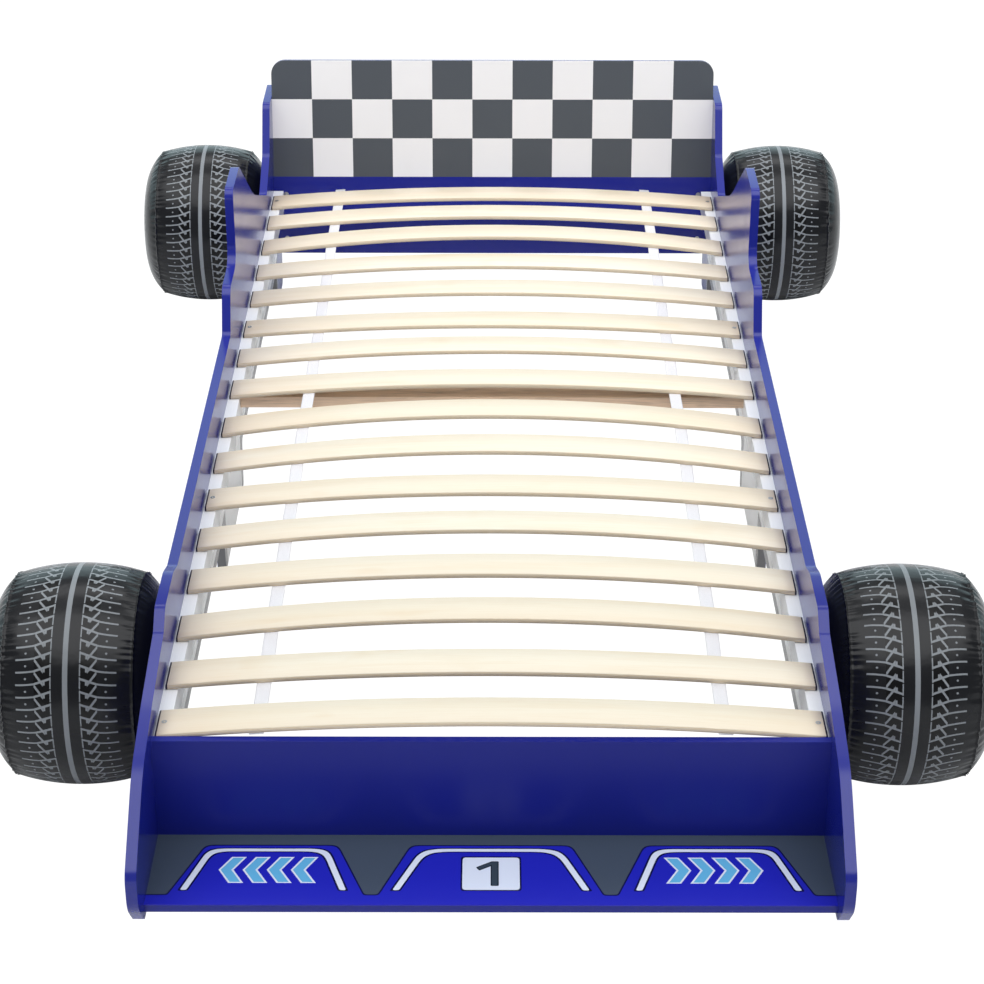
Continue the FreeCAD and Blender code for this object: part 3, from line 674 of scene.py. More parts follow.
    def hook_and_loop(self):
        material, tree, shader = new_material("hook_and_loop", 0.9, sheen=0.5)
        x, y, z = split(tree, object_place(tree))
        woven = use_group(tree, self.weave, Place=join(tree, y, z, x), Thread=1.5 * MM)
        fuzz = noise(tree, object_place(tree), 900.0)
        colour = mix_colour(tree, fuzz, (0.012, 0.012, 0.013), (0.05, 0.05, 0.052))
        finish_with(tree, shader, colour, None, woven["Thread"] + fuzz,
                    depth=0.5 * MM, strength=0.8)
        return material

    def zinc_steel(self):
        material, tree, shader = new_material("zinc_steel", 0.3, metallic=1.0)
        uneven = self.uneven(tree, 0.3, unevenness=0.12, relief=0.8 * MM)
        cloud = noise(tree, object_place(tree), 160.0)
        colour = mix_colour(tree, cloud, (0.62, 0.62, 0.60), (0.48, 0.50, 0.53))
        finish_with(tree, shader, colour, uneven["Roughness"], uneven["Height"],
                    depth=0.03 * MM, strength=0.6)
        return material


def panel_feet():
    """Where the feet of a side panel begin and end, from its points on the floor."""
    on_floor, feet_apart = 1 * MM, 350 * MM
    found = []
    for end in ENDS:
        points = NODES["side_panel_%s_right" % end].data.vertices
        for y in sorted(point.co.y for point in points if point.co.z < on_floor):
            if found and y - found[-1][1] < feet_apart:
                found[-1][1] = max(y, found[-1][1])
            else:
                found.append([y, y])
    return found


def headboard_foot():
    """The lower edge of the headboard's front face."""
    lean = bpy.context.scene.bed_boards.headboard_lean
    return Vector((0, HEADBOARD_LOW.y, HEADBOARD_LOW.z + BOARD_THICKNESS * math.sin(lean)))


def tread_group(repeats):
    """Printed tread lines: u counts the blocks round the wheel, v is metres across from the middle.

    Its numbers are millimetres, and the rows are distances from the middle of the tread.
    """
    tree, given, end = new_group("tread print", [("Vector", "Place", (0, 0, 0))],
                                 [("Float", "Line"), ("Float", "Band")])
    u, v, unused = split(tree, given["Place"])
    wheel_radius = 162.0
    pitch = 2 * math.pi * wheel_radius / repeats
    away = abs(v) / MM
    centre, ring, rise_start, spur_row, fall_start, corner, dot_row, dash_end = (
        3.7, 20.6, 20.3, 29.5, 31.0, 44.0, 56.5, 71.0)
    half_line, half_ring, half_spur = 1.35, 0.9, 1.3

    def turn(shift):
        """Way round the wheel from the nearest block's own line, moved back by shift blocks."""
        return (maths(tree, "FRACT", u + shift + 0.5) - 0.5) * pitch

    def rows(low, high):
        return away.above(low) * away.below(high)

    bend = maths(tree, "MAXIMUM", dash_end - away, 0.0) / (dash_end - corner)
    dash = abs(turn(bend * bend * (-2.0 / pitch))).below(half_line) * rows(corner, dash_end)
    climb = (corner - away) * (8.0 / 23.7) + 2.0
    rising = abs(turn(climb / -pitch)).below(half_line * 1.25) * rows(rise_start, corner)
    fall = (corner - away) * (14.7 / 11.0)
    falling = abs(turn(fall / pitch)).below(half_line * 1.9) * rows(fall_start, corner)
    off_spur, off_notch, off_dot, off_row = turn(-0.05), turn(0.3), turn(0.5), away - dot_row
    spur = abs(away - spur_row).below(half_spur) * off_spur.above(-0.5) * off_spur.below(6.5)
    rim = abs(away - ring).below(half_ring) * (1.0 - abs(off_notch).below(0.9))
    dot = (off_dot * off_dot + off_row * off_row).below(2.6)
    line = dash
    for mark in (rising, falling, spur, rim, away.below(centre), dot):
        line = maths(tree, "MAXIMUM", line, mark)
    feed(tree, line, end.inputs["Line"])
    feed(tree, rows(ring, corner), end.inputs["Band"])
    return tree


# ---- Mesh making ---------------------------------------------------------------------------------
def add_object(name, mesh):
    piece = bpy.data.objects.new(name, mesh)
    bpy.context.scene.collection.objects.link(piece)
    return piece


def bake(piece):
    """The piece with its modifiers worked out into a plain mesh."""
    bpy.context.view_layer.update()
    graph = bpy.context.evaluated_depsgraph_get()
    mesh = bpy.data.meshes.new_from_object(
        piece.evaluated_get(graph), preserve_all_data_layers=True, depsgraph=graph)
    piece.modifiers.clear()
    old = piece.data
    piece.data = mesh
    mesh.name = piece.name
    if old.users == 0:
        bpy.data.meshes.remove(old)
    return piece


def dress(piece, material, body, slot, *nodes):
    """Material, body, material slot (not used) and the solids the piece stands for."""
    piece.data.materials.clear()
    piece.data.materials.append(material)
    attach(piece, body)
    if nodes:
        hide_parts(*nodes)


def copy_of_node(node, name):
    """A clean copy of a solid's mesh: welded, its flat faces whole."""
    mesh = NODES[node].data.copy()
    mesh.name = name
    work = bmesh.new()
    work.from_mesh(mesh)
    bmesh.ops.remove_doubles(work, verts=work.verts, dist=SAME_POINT)
    bmesh.ops.dissolve_limit(work, angle_limit=math.radians(0.3), verts=work.verts, edges=work.edges)
    work.to_mesh(mesh)
    work.free()
    for key in ("custom_normal", "sharp_face"):
        if key in mesh.attributes:
            mesh.attributes.remove(mesh.attributes[key])
    mesh.shade_smooth()
    return mesh


def round_edges(piece, radius, segments, sharper_than, miter):
    """The piece, baked, with every edge rounded that turns by more than sharper_than degrees."""
    bevel = piece.modifiers.new("edges", "BEVEL")
    bevel.width = radius
    bevel.segments = segments
    bevel.limit_method = "ANGLE"
    bevel.angle_limit = math.radians(sharper_than)
    bevel.harden_normals = True
    bevel.miter_outer = miter
    return bake(piece)


def rounded_copy(node, name, radius, segments=3):
    """A solid's copy with its sharp edges rounded."""
    return round_edges(add_object(name, copy_of_node(node, name)), radius, segments, 35, "MITER_ARC")


def islands(node):
    """The separate solids of a node, each as an array of its points."""
    work = bmesh.new()
    work.from_mesh(NODES[node].data)
    bmesh.ops.remove_doubles(work, verts=work.verts, dist=SAME_POINT)
    left = set(work.verts)
    found = []
    while left:
        stack = [left.pop()]
        points = []
        while stack:
            here = stack.pop()
            points.append(here.co[:])
            for edge in here.link_edges:
                other = edge.other_vert(here)
                if other in left:
                    left.remove(other)
                    stack.append(other)
        found.append(np.array(points))
    work.free()
    return sorted(found, key=lambda points: tuple(np.round(points.mean(0), 4)))


def fixing_places(node):
    """Each screw or bolt of a node: the middle of its head's outer face, its way down and its length."""
    end_part = 2.6 * MM
    places = []
    for points in islands(node):
        low, high = points.min(0), points.max(0)
        axis = int(np.argmax(high - low))
        others = [i for i in range(3) if i != axis]
        centre = (low + high) / 2
        spread = np.hypot(*(points[:, others] - centre[others]).T)
        near_low = spread[points[:, axis] < low[axis] + end_part].max()
        near_high = spread[points[:, axis] > high[axis] - end_part].max()
        head = centre.copy()
        way = np.zeros(3)
        way[axis] = 1.0 if near_low > near_high else -1.0
        head[axis] = low[axis] if near_low > near_high else high[axis]
        places.append((head, way, high[axis] - low[axis]))
    return places


def point_cloud(name, places, **extra):
    """A mesh of loose points; extra holds a number or a vector for each of them."""
    mesh = bpy.data.meshes.new(name)
    mesh.from_pydata([tuple(p) for p in places], [], [])
    for key, values in extra.items():
        vector = np.ndim(values[0]) == 1
        attribute = mesh.attributes.new(key, "FLOAT_VECTOR" if vector else "FLOAT", "POINT")
        flat = np.asarray(values, np.float32).ravel()
        attribute.data.foreach_set("vector" if vector else "value", flat)
    return add_object(name, mesh)


def closed_mesh(name, verts, faces, uv_map, uvs):
    """A smooth mesh with a UV map, its faces turned outwards."""
    mesh = bpy.data.meshes.new(name)
    mesh.from_pydata(verts, [], faces)
    layer = mesh.uv_layers.new(name=uv_map)
    layer.data.foreach_set("uv", np.array(uvs, np.float32).ravel())
    work = bmesh.new()
    work.from_mesh(mesh)
    bmesh.ops.recalc_face_normals(work, faces=work.faces)
    work.to_mesh(mesh)
    work.free()
    mesh.shade_smooth()
    return mesh


# ---- Geometry node trees -------------------------------------------------------------------------
def new_geometry_tree(name, inputs):
    return new_tree(name, "GeometryNodeTree", [("Geometry", "Geometry", None), *inputs],
                    [("Geometry", "Geometry")])


def run_tree(piece, tree, **values):
    """Adds the tree as a modifier and sets its inputs by their sockets' identifiers."""
    modifier = piece.modifiers.new(tree.name, "NODES")
    modifier.node_group = tree
    for item in tree.interface.items_tree:
        if item.item_type == "SOCKET" and item.in_out == "INPUT" and item.name in values:
            modifier[item.identifier] = values[item.name]


def read_attribute(tree, name, kind="FLOAT"):
    return first_out(tree, "GeometryNodeInputNamedAttribute", {"Name": name}, data_type=kind)


def moved(tree, geometry, x, y, z):
    return first_out(tree, "GeometryNodeTransform", {0: geometry, "Translation": join(tree, x, y, z)})


def together(tree, *parts):
    node = place(tree, "GeometryNodeJoinGeometry")
    for part in parts:
        feed(tree, part, node.inputs[0])
    return out(tree, node)


def on_points(tree, given, instance, rotation=(0.0, 0.0, 0.0)):
    """The instance on every point that comes in."""
    return first_out(tree, "GeometryNodeInstanceOnPoints", {
        "Points": given["Geometry"], "Instance": instance, "Rotation": rotation})


def end_tree(tree, geometry, material, end):
    whole = first_out(tree, "GeometryNodeRealizeInstances", {0: geometry})
    painted = first_out(tree, "GeometryNodeSetMaterial", {0: whole, "Material": material})
    feed(tree, painted, end.inputs[0])


def slat_tree():
    """A bowed slat on every point: one arc from end to end, as high as the point's own rise."""
    tree, given, end = new_geometry_tree("sprung slats", [
        ("Float", "Length", 0.9), ("Float", "Width", 0.06), ("Float", "Thickness", 0.008),
        ("Int", "Steps", 49), ("Material", "Material", None)])
    strip = first_out(tree, "GeometryNodeMeshCube", {
        "Size": join(tree, given["Length"], given["Width"], given["Thickness"]),
        "Vertices X": given["Steps"], "Vertices Y": 2, "Vertices Z": 2})
    here = first_out(tree, "GeometryNodeInputPosition")
    kept = first_out(tree, "GeometryNodeStoreNamedAttribute", {0: strip, "Name": "slat_place", "Value": here},
                     data_type="FLOAT_VECTOR", domain="POINT")
    laid = first_out(tree, "GeometryNodeRealizeInstances", {0: on_points(tree, given, kept)})
    rise = read_attribute(tree, "slat_rise")
    x, y, z = split(tree, here)
    half = given["Length"] * 0.5
    radius = (half * half + rise * rise) / (rise * 2.0)
    lift = rise - radius + maths(tree, "SQRT", radius * radius - x * x)
    bowed = first_out(tree, "GeometryNodeSetPosition", {0: laid, "Offset": join(tree, 0.0, 0.0, lift)})
    end_tree(tree, bowed, given["Material"], end)
    return tree


BOLT = {"Head radius": 7.5 * MM, "Head height": 2.5 * MM, "Under radius": 7.5 * MM,
        "Shank radius": 3.0 * MM, "Recess radius": 2.3 * MM, "Recess depth": 1.6 * MM,
        "Lobes": 6.0, "Waist": 0.87}
SCREW = {"Head radius": 3.8 * MM, "Head height": 2.4 * MM, "Under radius": 1.75 * MM,
         "Shank radius": 1.75 * MM, "Recess radius": 2.2 * MM, "Recess depth": 1.3 * MM,
         "Lobes": 4.0, "Waist": 0.3}
SCREW_PROUD = 0.9 * MM          # how far the slats' screws stand out


def fixing_tree():
    """A screw or bolt on every point: head, lobed recess and plain shank, down the point's own way."""
    tree, given, end = new_geometry_tree("screws and bolts", [
        ("Float", "Head radius", 0.004), ("Float", "Head height", 0.0025),
        ("Float", "Under radius", 0.002), ("Float", "Shank radius", 0.00175),
        ("Float", "Length", 0.03), ("Float", "Recess radius", 0.002), ("Float", "Recess depth", 0.0015),
        ("Float", "Lobes", 4.0), ("Float", "Waist", 0.4), ("Material", "Material", None)])
    head = place(tree, "GeometryNodeMeshCone", {
        "Vertices": 24, "Radius Top": given["Head radius"], "Radius Bottom": given["Under radius"],
        "Depth": given["Head height"]})
    low = moved(tree, head.outputs[0], 0.0, 0.0, given["Head height"] * -1.0)
    rim = place(tree, "GeometryNodeExtrudeMesh", {
        0: low, "Selection": head.outputs["Top"], "Offset Scale": 0.0}, mode="FACES")
    inner = rim.outputs["Top"]
    small = first_out(tree, "GeometryNodeScaleElements", {
        0: rim.outputs[0], "Selection": inner, "Scale": given["Recess radius"] / given["Head radius"]})
    x, y, z = split(tree, first_out(tree, "GeometryNodeInputPosition"))
    angle = maths(tree, "ARCTAN2", y, x)
    lobe = abs(maths(tree, "COSINE", angle * given["Lobes"] * 0.5))
    pull = given["Waist"] + (1.0 - given["Waist"]) * maths(tree, "POWER", lobe, 2.0)
    star = first_out(tree, "GeometryNodeSetPosition", {
        0: small, "Selection": inner, "Position": join(tree, x * pull, y * pull, z)})
    pit = first_out(tree, "GeometryNodeExtrudeMesh", {
        0: star, "Selection": inner, "Offset Scale": given["Recess depth"] * -1.0}, mode="FACES")
    shank_length = given["Length"] - given["Head height"]
    shank = first_out(tree, "GeometryNodeMeshCylinder", {
        "Vertices": 16, "Radius": given["Shank radius"], "Depth": shank_length})
    hung = moved(tree, shank, 0.0, 0.0, (given["Head height"] + shank_length * 0.5) * -1.0)
    way = read_attribute(tree, "shank_way", "FLOAT_VECTOR")
    back = first_out(tree, "ShaderNodeVectorMath", {0: way, 1: (-1.0, -1.0, -1.0)}, operation="MULTIPLY")
    turn = first_out(tree, "FunctionNodeAlignRotationToVector", {"Vector": back}, axis="Z")
    laid = on_points(tree, given, together(tree, hung, pit), turn)
    end_tree(tree, laid, given["Material"], end)
    return tree


def staple_tree():
    """A wire staple on every point: a crown along Y and two legs upwards."""
    tree, given, end = new_geometry_tree("wire staples", [
        ("Float", "Crown", 0.01), ("Float", "Leg", 0.005), ("Float", "Wire", 0.001),
        ("Material", "Material", None)])
    wire = given["Wire"]
    out_by, up_by = (given["Crown"] - wire) * 0.5, (given["Leg"] + wire) * 0.5
    parts = [first_out(tree, "GeometryNodeMeshCube", {"Size": join(tree, wire, given["Crown"], wire)})]
    for sign in (1.0, -1.0):
        leg = first_out(tree, "GeometryNodeMeshCube", {"Size": join(tree, wire, wire, given["Leg"])})
        parts.append(moved(tree, leg, 0.0, out_by * sign, up_by))
    end_tree(tree, on_points(tree, given, together(tree, *parts)), given["Material"], end)
    return tree


def dowel_tree():
    """A fluted dowel along Y on every point."""
    tree, given, end = new_geometry_tree("fluted dowels", [
        ("Float", "Radius", 0.004), ("Float", "Length", 0.032), ("Float", "Flutes", 12.0),
        ("Material", "Material", None)])
    rod = first_out(tree, "GeometryNodeMeshCylinder", {
        "Vertices": 48, "Side Segments": 6, "Radius": given["Radius"], "Depth": given["Length"]})
    x, y, z = split(tree, first_out(tree, "GeometryNodeInputPosition"))
    ridge = abs(maths(tree, "COSINE", maths(tree, "ARCTAN2", y, x) * given["Flutes"] * 0.5))
    flute = ridge * 0.07 + 0.93
    cut = first_out(tree, "GeometryNodeSetPosition", {
        0: rod, "Position": join(tree, x * flute, y * flute, z)})
    end_tree(tree, on_points(tree, given, cut, (math.pi / 2, 0.0, 0.0)), given["Material"], end)
    return tree


# ---- Wheel ---------------------------------------------------------------------------------------
TREAD_POINTS = 26               # points from the middle of the tread to the weld
WALL_POINTS = 18                # points from the weld to the flat middle
HUB_RINGS = (0.82, 0.6, 0.35, 0.12)     # rings in the flat middle, as shares of its radius
WRINKLE_WAVES = range(22, 130, 4)       # waves round the wheel that make up the wrinkles
WRINKLE_SUM = 3.4               # what their sum is divided by
WRINKLE_REACH = 15 * MM         # how far the wrinkles reach from the weld
OFF_TREAD = 0.2                 # metres across, past the tread's print, for the faces at the hubs


def wheel_profile(settings, radius, half_width):
    """Half the section, from mid tread over the weld to the hub: (across, radius), and the weld's index."""
    seam_x = settings.weld_width / 2
    seam_r = radius - settings.crown_drop
    crown_r = (seam_x ** 2 + settings.crown_drop ** 2) / (2 * settings.crown_drop)
    points = []
    for x in np.linspace(0.0, seam_x, TREAD_POINTS):
        points.append((x, radius - crown_r + math.sqrt(crown_r ** 2 - x ** 2)))
    weld = len(points) - 1
    bulge = half_width - seam_x
    rise = seam_r - settings.flat_radius
    wall_r = (bulge ** 2 + rise ** 2) / (2 * bulge)
    centre = half_width - wall_r
    for turn in np.linspace(math.asin(rise / wall_r), 0.0, WALL_POINTS)[1:]:
        points.append((centre + wall_r * math.cos(turn), settings.flat_radius + wall_r * math.sin(turn)))
    for share in HUB_RINGS:
        points.append((half_width, settings.flat_radius * share))
    return np.array(points), weld


def wrinkles(turns, random):
    """How deep a weld's wrinkles are at each turn round the wheel, from 0 to 1."""
    ripple = np.zeros(len(turns))
    for waves in WRINKLE_WAVES:
        ripple += random.uniform(0.3, 1.0) * np.cos(waves * turns + random.uniform(0, 2 * math.pi))
    ripple = np.clip(ripple / WRINKLE_SUM, -1.0, 1.0)
    slow = np.cos(3 * turns + random.uniform(0, 6.28)) * np.cos(5 * turns + random.uniform(0, 6.28))
    return np.clip(0.5 - 0.5 * ripple, 0, 1) * (0.35 + 0.65 * (0.55 + 0.45 * slow))


def wheel_mesh(name, settings, centre, radius, half_width, seed, way):
    """A closed inflated wheel with a lip and wrinkles at its two welds.

    Its UV map counts tread blocks round the wheel, forwards or backwards by way, and metres across.
    """
    half, weld = wheel_profile(settings, radius, half_width)
    seam = half[weld]
    lip = seam + settings.lip * np.array((0.45, 0.9))
    lip_side = lip + np.array((0.9 * MM, -0.35 * MM))
    lip_foot = seam + np.array((1.2 * MM, -1.0 * MM))
    side = np.vstack((half[:weld + 1], lip, lip_side, lip_foot, half[weld + 1:]))
    path = np.vstack((side[::-1], side[1:] * np.array((-1, 1))))
    across, reach = path[:, 0], path[:, 1]
    from_weld = np.hypot(np.abs(across) - seam[0], reach - seam[1])

    steps, count = settings.repeats * WHEEL_STEPS, len(path)
    turns = np.arange(steps) / steps * 2 * math.pi
    random = np.random.default_rng(seed)
    points = np.zeros((steps, count, 2))
    for sign in (1, -1):
        mine = np.sign(across + 1e-9) == sign
        fade = np.exp(-(from_weld / WRINKLE_REACH) ** 2) * mine
        dent = settings.pucker * np.outer(wrinkles(turns, random), fade)
        points[:, :, 0] += across * mine - sign * dent * 0.55
        points[:, :, 1] += reach * mine - dent
    ring, turn = points[:, :, 1], turns[:, None]
    where = np.stack((points[:, :, 0] + centre.x, centre.y - ring * np.cos(turn),
                      centre.z + ring * np.sin(turn)), -1)
    verts = [tuple(point) for point in where.reshape(-1, 3)]
    hub = len(verts)
    verts += [(centre.x + half_width, centre.y, centre.z), (centre.x - half_width, centre.y, centre.z)]

    faces, uvs = [], []
    last = count - 1
    for step in range(steps):
        here, there = step * count, (step + 1) % steps * count
        u0, u1 = way * step / WHEEL_STEPS, way * (step + 1) / WHEEL_STEPS
        for k in range(last):
            faces.append((here + k, there + k, there + k + 1, here + k + 1))
            v0, v1 = across[k], across[k + 1]
            uvs += [(u0, v0), (u1, v0), (u1, v1), (u0, v1)]
        faces += [(hub, there, here), (hub + 1, here + last, there + last)]
        uvs += [(u0, OFF_TREAD)] * 6
    return closed_mesh(name, verts, faces, "tread", uvs)


# ---- Webbing -------------------------------------------------------------------------------------
STRAP_THICKNESS = 1.2 * MM
# The strap's section, in widths across and thicknesses up from its top.
STRAP_TOP = ((-0.47, 0.0), (-0.34, 0.0), (0.0, 0.0), (0.34, 0.0), (0.47, 0.0))
STRAP_SECTION = ((-0.5, -0.5), *STRAP_TOP, (0.5, -0.5),
                 *((across, -1.0) for across, deep in reversed(STRAP_TOP)))


def strap_stations(settings, low, high, boxes):
    """Places along the strap: y, the rise of the slat above it, and the sag."""
    rises = [slat_high.z - slat_low.z - settings.slat_thickness for slat_low, slat_high in boxes]
    last_slat = len(boxes) - 1
    stations = []
    for index, (slat_low, slat_high) in enumerate(boxes):
        first = low.y if index == 0 else slat_low.y
        last = high.y if index == last_slat else slat_high.y
        stations += [(y, rises[index], 0.0) for y in np.linspace(first, last, 3)]
        if index < last_slat:
            gap = boxes[index + 1][0].y - last
            climb = rises[index + 1] - rises[index]
            for part in (0.2, 0.4, 0.6, 0.8):
                sag = settings.strap_sag * math.sin(part * math.pi)
                stations.append((last + gap * part, rises[index] + climb * part, sag))
    return stations


def webbing_mesh(name, sign, settings):
    """A woven strap that lies under every slat, with soft edges and a little sag between two slats."""
    low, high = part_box("webbing_right")
    middle, width = (low.x + high.x) / 2, high.x - low.x
    boxes = [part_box(node) for node in SLATS]
    stations = strap_stations(settings, low, high, boxes)
    verts = []
    for y, rise, sag in stations:
        radius = (SLAT_HALF ** 2 + rise ** 2) / (2 * rise)
        for across, deep in STRAP_SECTION:
            x = middle + across * width
            top = boxes[0][0].z + rise - radius + math.sqrt(radius ** 2 - x ** 2)
            verts.append((sign * x, y, top + deep * STRAP_THICKNESS - sag))

    count = len(STRAP_SECTION)
    faces, uvs = [], []
    for i in range(len(stations) - 1):
        y0, y1 = stations[i][0], stations[i + 1][0]
        for k in range(count):
            m = (k + 1) % count
            faces.append((i * count + k, (i + 1) * count + k, (i + 1) * count + m, i * count + m))
            a, b = STRAP_SECTION[k][0] * width, STRAP_SECTION[m][0] * width
            uvs += [(a, y0), (a, y1), (b, y1), (b, y0)]
    for i in (0, len(stations) - 1):
        faces.append(tuple(i * count + k for k in range(count)))
        uvs += [(across * width, stations[i][0] + deep * STRAP_THICKNESS) for across, deep in STRAP_SECTION]
    return closed_mesh(name, verts, faces, "cloth", uvs)


# ---- Operators -----------------------------------------------------------------------------------
finishes = None


def finish_named(name):
    global finishes
    if finishes is None:
        finishes = Finishes(bpy.context.scene)
    return finishes.get(name)


class BedOperator:
    """What every operator here does: it makes its pieces in the scene."""
    bl_options = {"REGISTER"}

    def execute(self, context):
        self.make(context.scene)
        return {"FINISHED"}


class BED_OT_stage(BedOperator, bpy.types.Operator):
    """Pale floor, soft light all round and the camera"""
    bl_idname = "car_bed.stage"
    bl_label = "Stage"

    white = (1.0, 1.0, 1.0)
    seen_white = 1.1        # light that the camera sees as plain white

    def make(self, scene):
        scene.view_settings.view_transform = "Standard"
        scene.view_settings.look = "None"
        self.add_camera(scene, scene.bed_stage)
        self.light_world(scene, scene.bed_stage)
        self.add_lamp(scene.bed_stage)
        self.add_floor(scene.bed_stage)

    def add_camera(self, scene, settings):
        camera = bpy.data.cameras.new("camera")
        camera.lens = settings.lens
        camera.sensor_width = 36.0
        camera.clip_end = 200.0
        viewer = add_object("camera", camera)
        tilt = Matrix.Rotation(settings.camera_tilt, 4, "X")
        roll = Matrix.Rotation(settings.camera_roll, 4, "Z")
        viewer.matrix_world = Matrix.Translation(settings.camera_at) @ tilt @ roll
        scene.camera = viewer

    def light_world(self, scene, settings):
        """A lit ceiling with a darker strip and a lit wall; past the floor the camera sees white.

        Strip, ceiling and wall are bounded by the y or z of the direction looked in.
        """
        world = bpy.data.worlds.new("studio")
        scene.world = world
        world.use_nodes = True
        tree = world.node_tree
        background = tree.nodes["Background"]
        strip_start, strip_end, ceiling_start, wall_start, wall_top = 0.12, 0.50, 0.70, 0.05, 0.49
        x, y, z = split(tree, place(tree, "ShaderNodeTexCoord").outputs["Generated"])
        dark_strip = y.above(strip_start, 0.06) * y.below(strip_end, 0.06) * 0.7
        ceiling = z.above(ceiling_start, 0.10) * (1.0 - dark_strip) * settings.top_light
        wall = y.above(wall_start, 0.25) * z.below(wall_top, 0.02)
        seen = out(tree, place(tree, "ShaderNodeLightPath"), "Is Camera Ray")
        strength = ceiling
        for light in (wall * settings.wall_light, settings.fill, seen * self.seen_white):
            strength = maths(tree, "MAXIMUM", strength, light)
        feed(tree, strength, background.inputs["Strength"])
        tint = mix_colour(tree, wall * (1.0 - seen), (0.98, 0.99, 1.0), (0.74, 0.95, 1.0))
        feed(tree, tint, background.inputs["Color"])

    def add_lamp(self, settings):
        lamp = bpy.data.lights.new("soft lamp", "AREA")
        lamp.size = 0.9
        lamp.spread = math.radians(70)
        lamp.energy = settings.lamp
        box = add_object("soft lamp", lamp)
        down = Matrix.Rotation(math.radians(37), 4, "X")
        box.matrix_world = Matrix.Translation((0.0, -0.8, 2.8)) @ down
        box.visible_glossy = False

    def add_floor(self, settings):
        """A wide floor, just below the feet, that the camera sees as nearly plain white."""
        reach, level, whiteness = 40.0, -0.3 * MM, 0.97
        mesh = bpy.data.meshes.new("floor")
        corners = [(-reach, -reach, level), (reach, -reach, level), (reach, reach, level),
                   (-reach, reach, level)]
        mesh.from_pydata(corners, [], [(0, 1, 2, 3)])
        floor = add_object("floor", mesh)
        material, tree, shader = new_material("pale floor", 0.9)
        grey = settings.floor_grey
        dust = noise(tree, object_place(tree), 3.0, detail=4.0)
        finish_with(tree, shader, mix_colour(
            tree, dust, (grey, grey, grey), (grey * 0.97, grey * 0.97, grey * 0.98)))
        glow = first_out(tree, "ShaderNodeEmission", {"Color": self.white, "Strength": self.seen_white})
        plain = shader.outputs[0]
        whitened = first_out(tree, "ShaderNodeMixShader", {0: whiteness, 1: plain, 2: glow})
        camera_ray = place(tree, "ShaderNodeLightPath").outputs["Is Camera Ray"]
        seen = first_out(tree, "ShaderNodeMixShader", {0: camera_ray, 1: plain, 2: whitened})
        feed(tree, seen, tree.nodes["Material Output"].inputs["Surface"])
        mesh.materials.append(material)


class BED_OT_side_panels(BedOperator, bpy.types.Operator):
    """The four halves of the lacquered side panels"""
    bl_idname = "car_bed.side_panels"
    bl_label = "Side panels"

    def make(self, scene):
        for end in ENDS:
            for side in SIDES:
                node = "side_panel_%s_%s" % (end, side)
                piece = rounded_copy(node, "lacquered_" + node, scene.bed_boards.edge_round)
                dress(piece, finish_named("panel_lacquer"), "bed", "blue_lacquer", node)


class BED_OT_cross_boards(BedOperator, bpy.types.Operator):
    """Nose shelf, bulkhead and headboard with their lacquer and prints"""
    bl_idname = "car_bed.cross_boards"
    bl_label = "Cross boards"

    def make(self, scene):
        for node, finish, slot in (("nose_bulkhead", "bulkhead_lacquer", "blue_lacquer"),
                                   ("nose_shelf", "shelf_print", "printed_lacquer"),
                                   ("headboard", "headboard_print", "printed_lacquer")):
            piece = rounded_copy(node, "lacquered_" + node, scene.bed_boards.edge_round * 0.8)
            dress(piece, finish_named(finish), "bed", slot, node)


class BED_OT_rails(BedOperator, bpy.types.Operator):
    """Painted side rails and the raw crossbar"""
    bl_idname = "car_bed.rails"
    bl_label = "Rails"

    def make(self, scene):
        for end in ENDS:
            for side in SIDES:
                node = "slat_rail_%s_%s" % (end, side)
                piece = rounded_copy(node, "painted_" + node, 1.5 * MM)
                dress(piece, finish_named("white_rail"), "bed", "white_rail", node)
        piece = rounded_copy("centre_crossbar", "sawn_crossbar", 0.8 * MM)
        dress(piece, finish_named("raw_pine"), "bed", "raw_pine", "centre_crossbar")


class BED_OT_slats(BedOperator, bpy.types.Operator):
    """Sixteen sprung slats of birch plywood"""
    bl_idname = "car_bed.slats"
    bl_label = "Slats"

    def make(self, scene):
        settings = scene.bed_base
        boxes = [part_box(node) for node in SLATS]
        thick = settings.slat_thickness
        places = [(0, (low.y + high.y) / 2, low.z + thick / 2) for low, high in boxes]
        rises = [high.z - low.z - thick for low, high in boxes]
        numbers = [i + 1.0 for i in range(len(boxes))]
        piece = point_cloud("birch_slats", places, slat_rise=rises, slat_number=numbers)
        low, high = boxes[1]
        run_tree(piece, slat_tree(), Length=high.x - low.x, Width=high.y - low.y, Thickness=thick,
                 Material=finish_named("birch_ply"))
        round_edges(piece, settings.slat_round, 2, 40, "MITER_SHARP")
        piece.data.shade_smooth()
        dress(piece, finish_named("birch_ply"), "bed", "birch_ply", *SLATS)


class BED_OT_webbing(BedOperator, bpy.types.Operator):
    """The two straps that space the slats, and their staples"""
    bl_idname = "car_bed.webbing"
    bl_label = "Webbing"

    def make(self, scene):
        settings = scene.bed_base
        for side, sign in (("right", 1), ("left", -1)):
            name = "woven_webbing_" + side
            piece = add_object(name, webbing_mesh(name, sign, settings))
            dress(piece, finish_named("webbing"), "bed", "webbing", "webbing_" + side)
        wire, steel = 1 * MM, finish_named("zinc_steel")
        places = []
        for points in islands("webbing_staples"):
            low, high = points.min(0), points.max(0)
            places.append(((low[0] + high[0]) / 2, (low[1] + high[1]) / 2, low[2] + wire / 2))
        piece = point_cloud("wire_staples", places)
        run_tree(piece, staple_tree(), Crown=10 * MM, Leg=5 * MM, Wire=wire, Material=steel)
        bake(piece)
        dress(piece, steel, "bed", "zinc_steel", "webbing_staples")


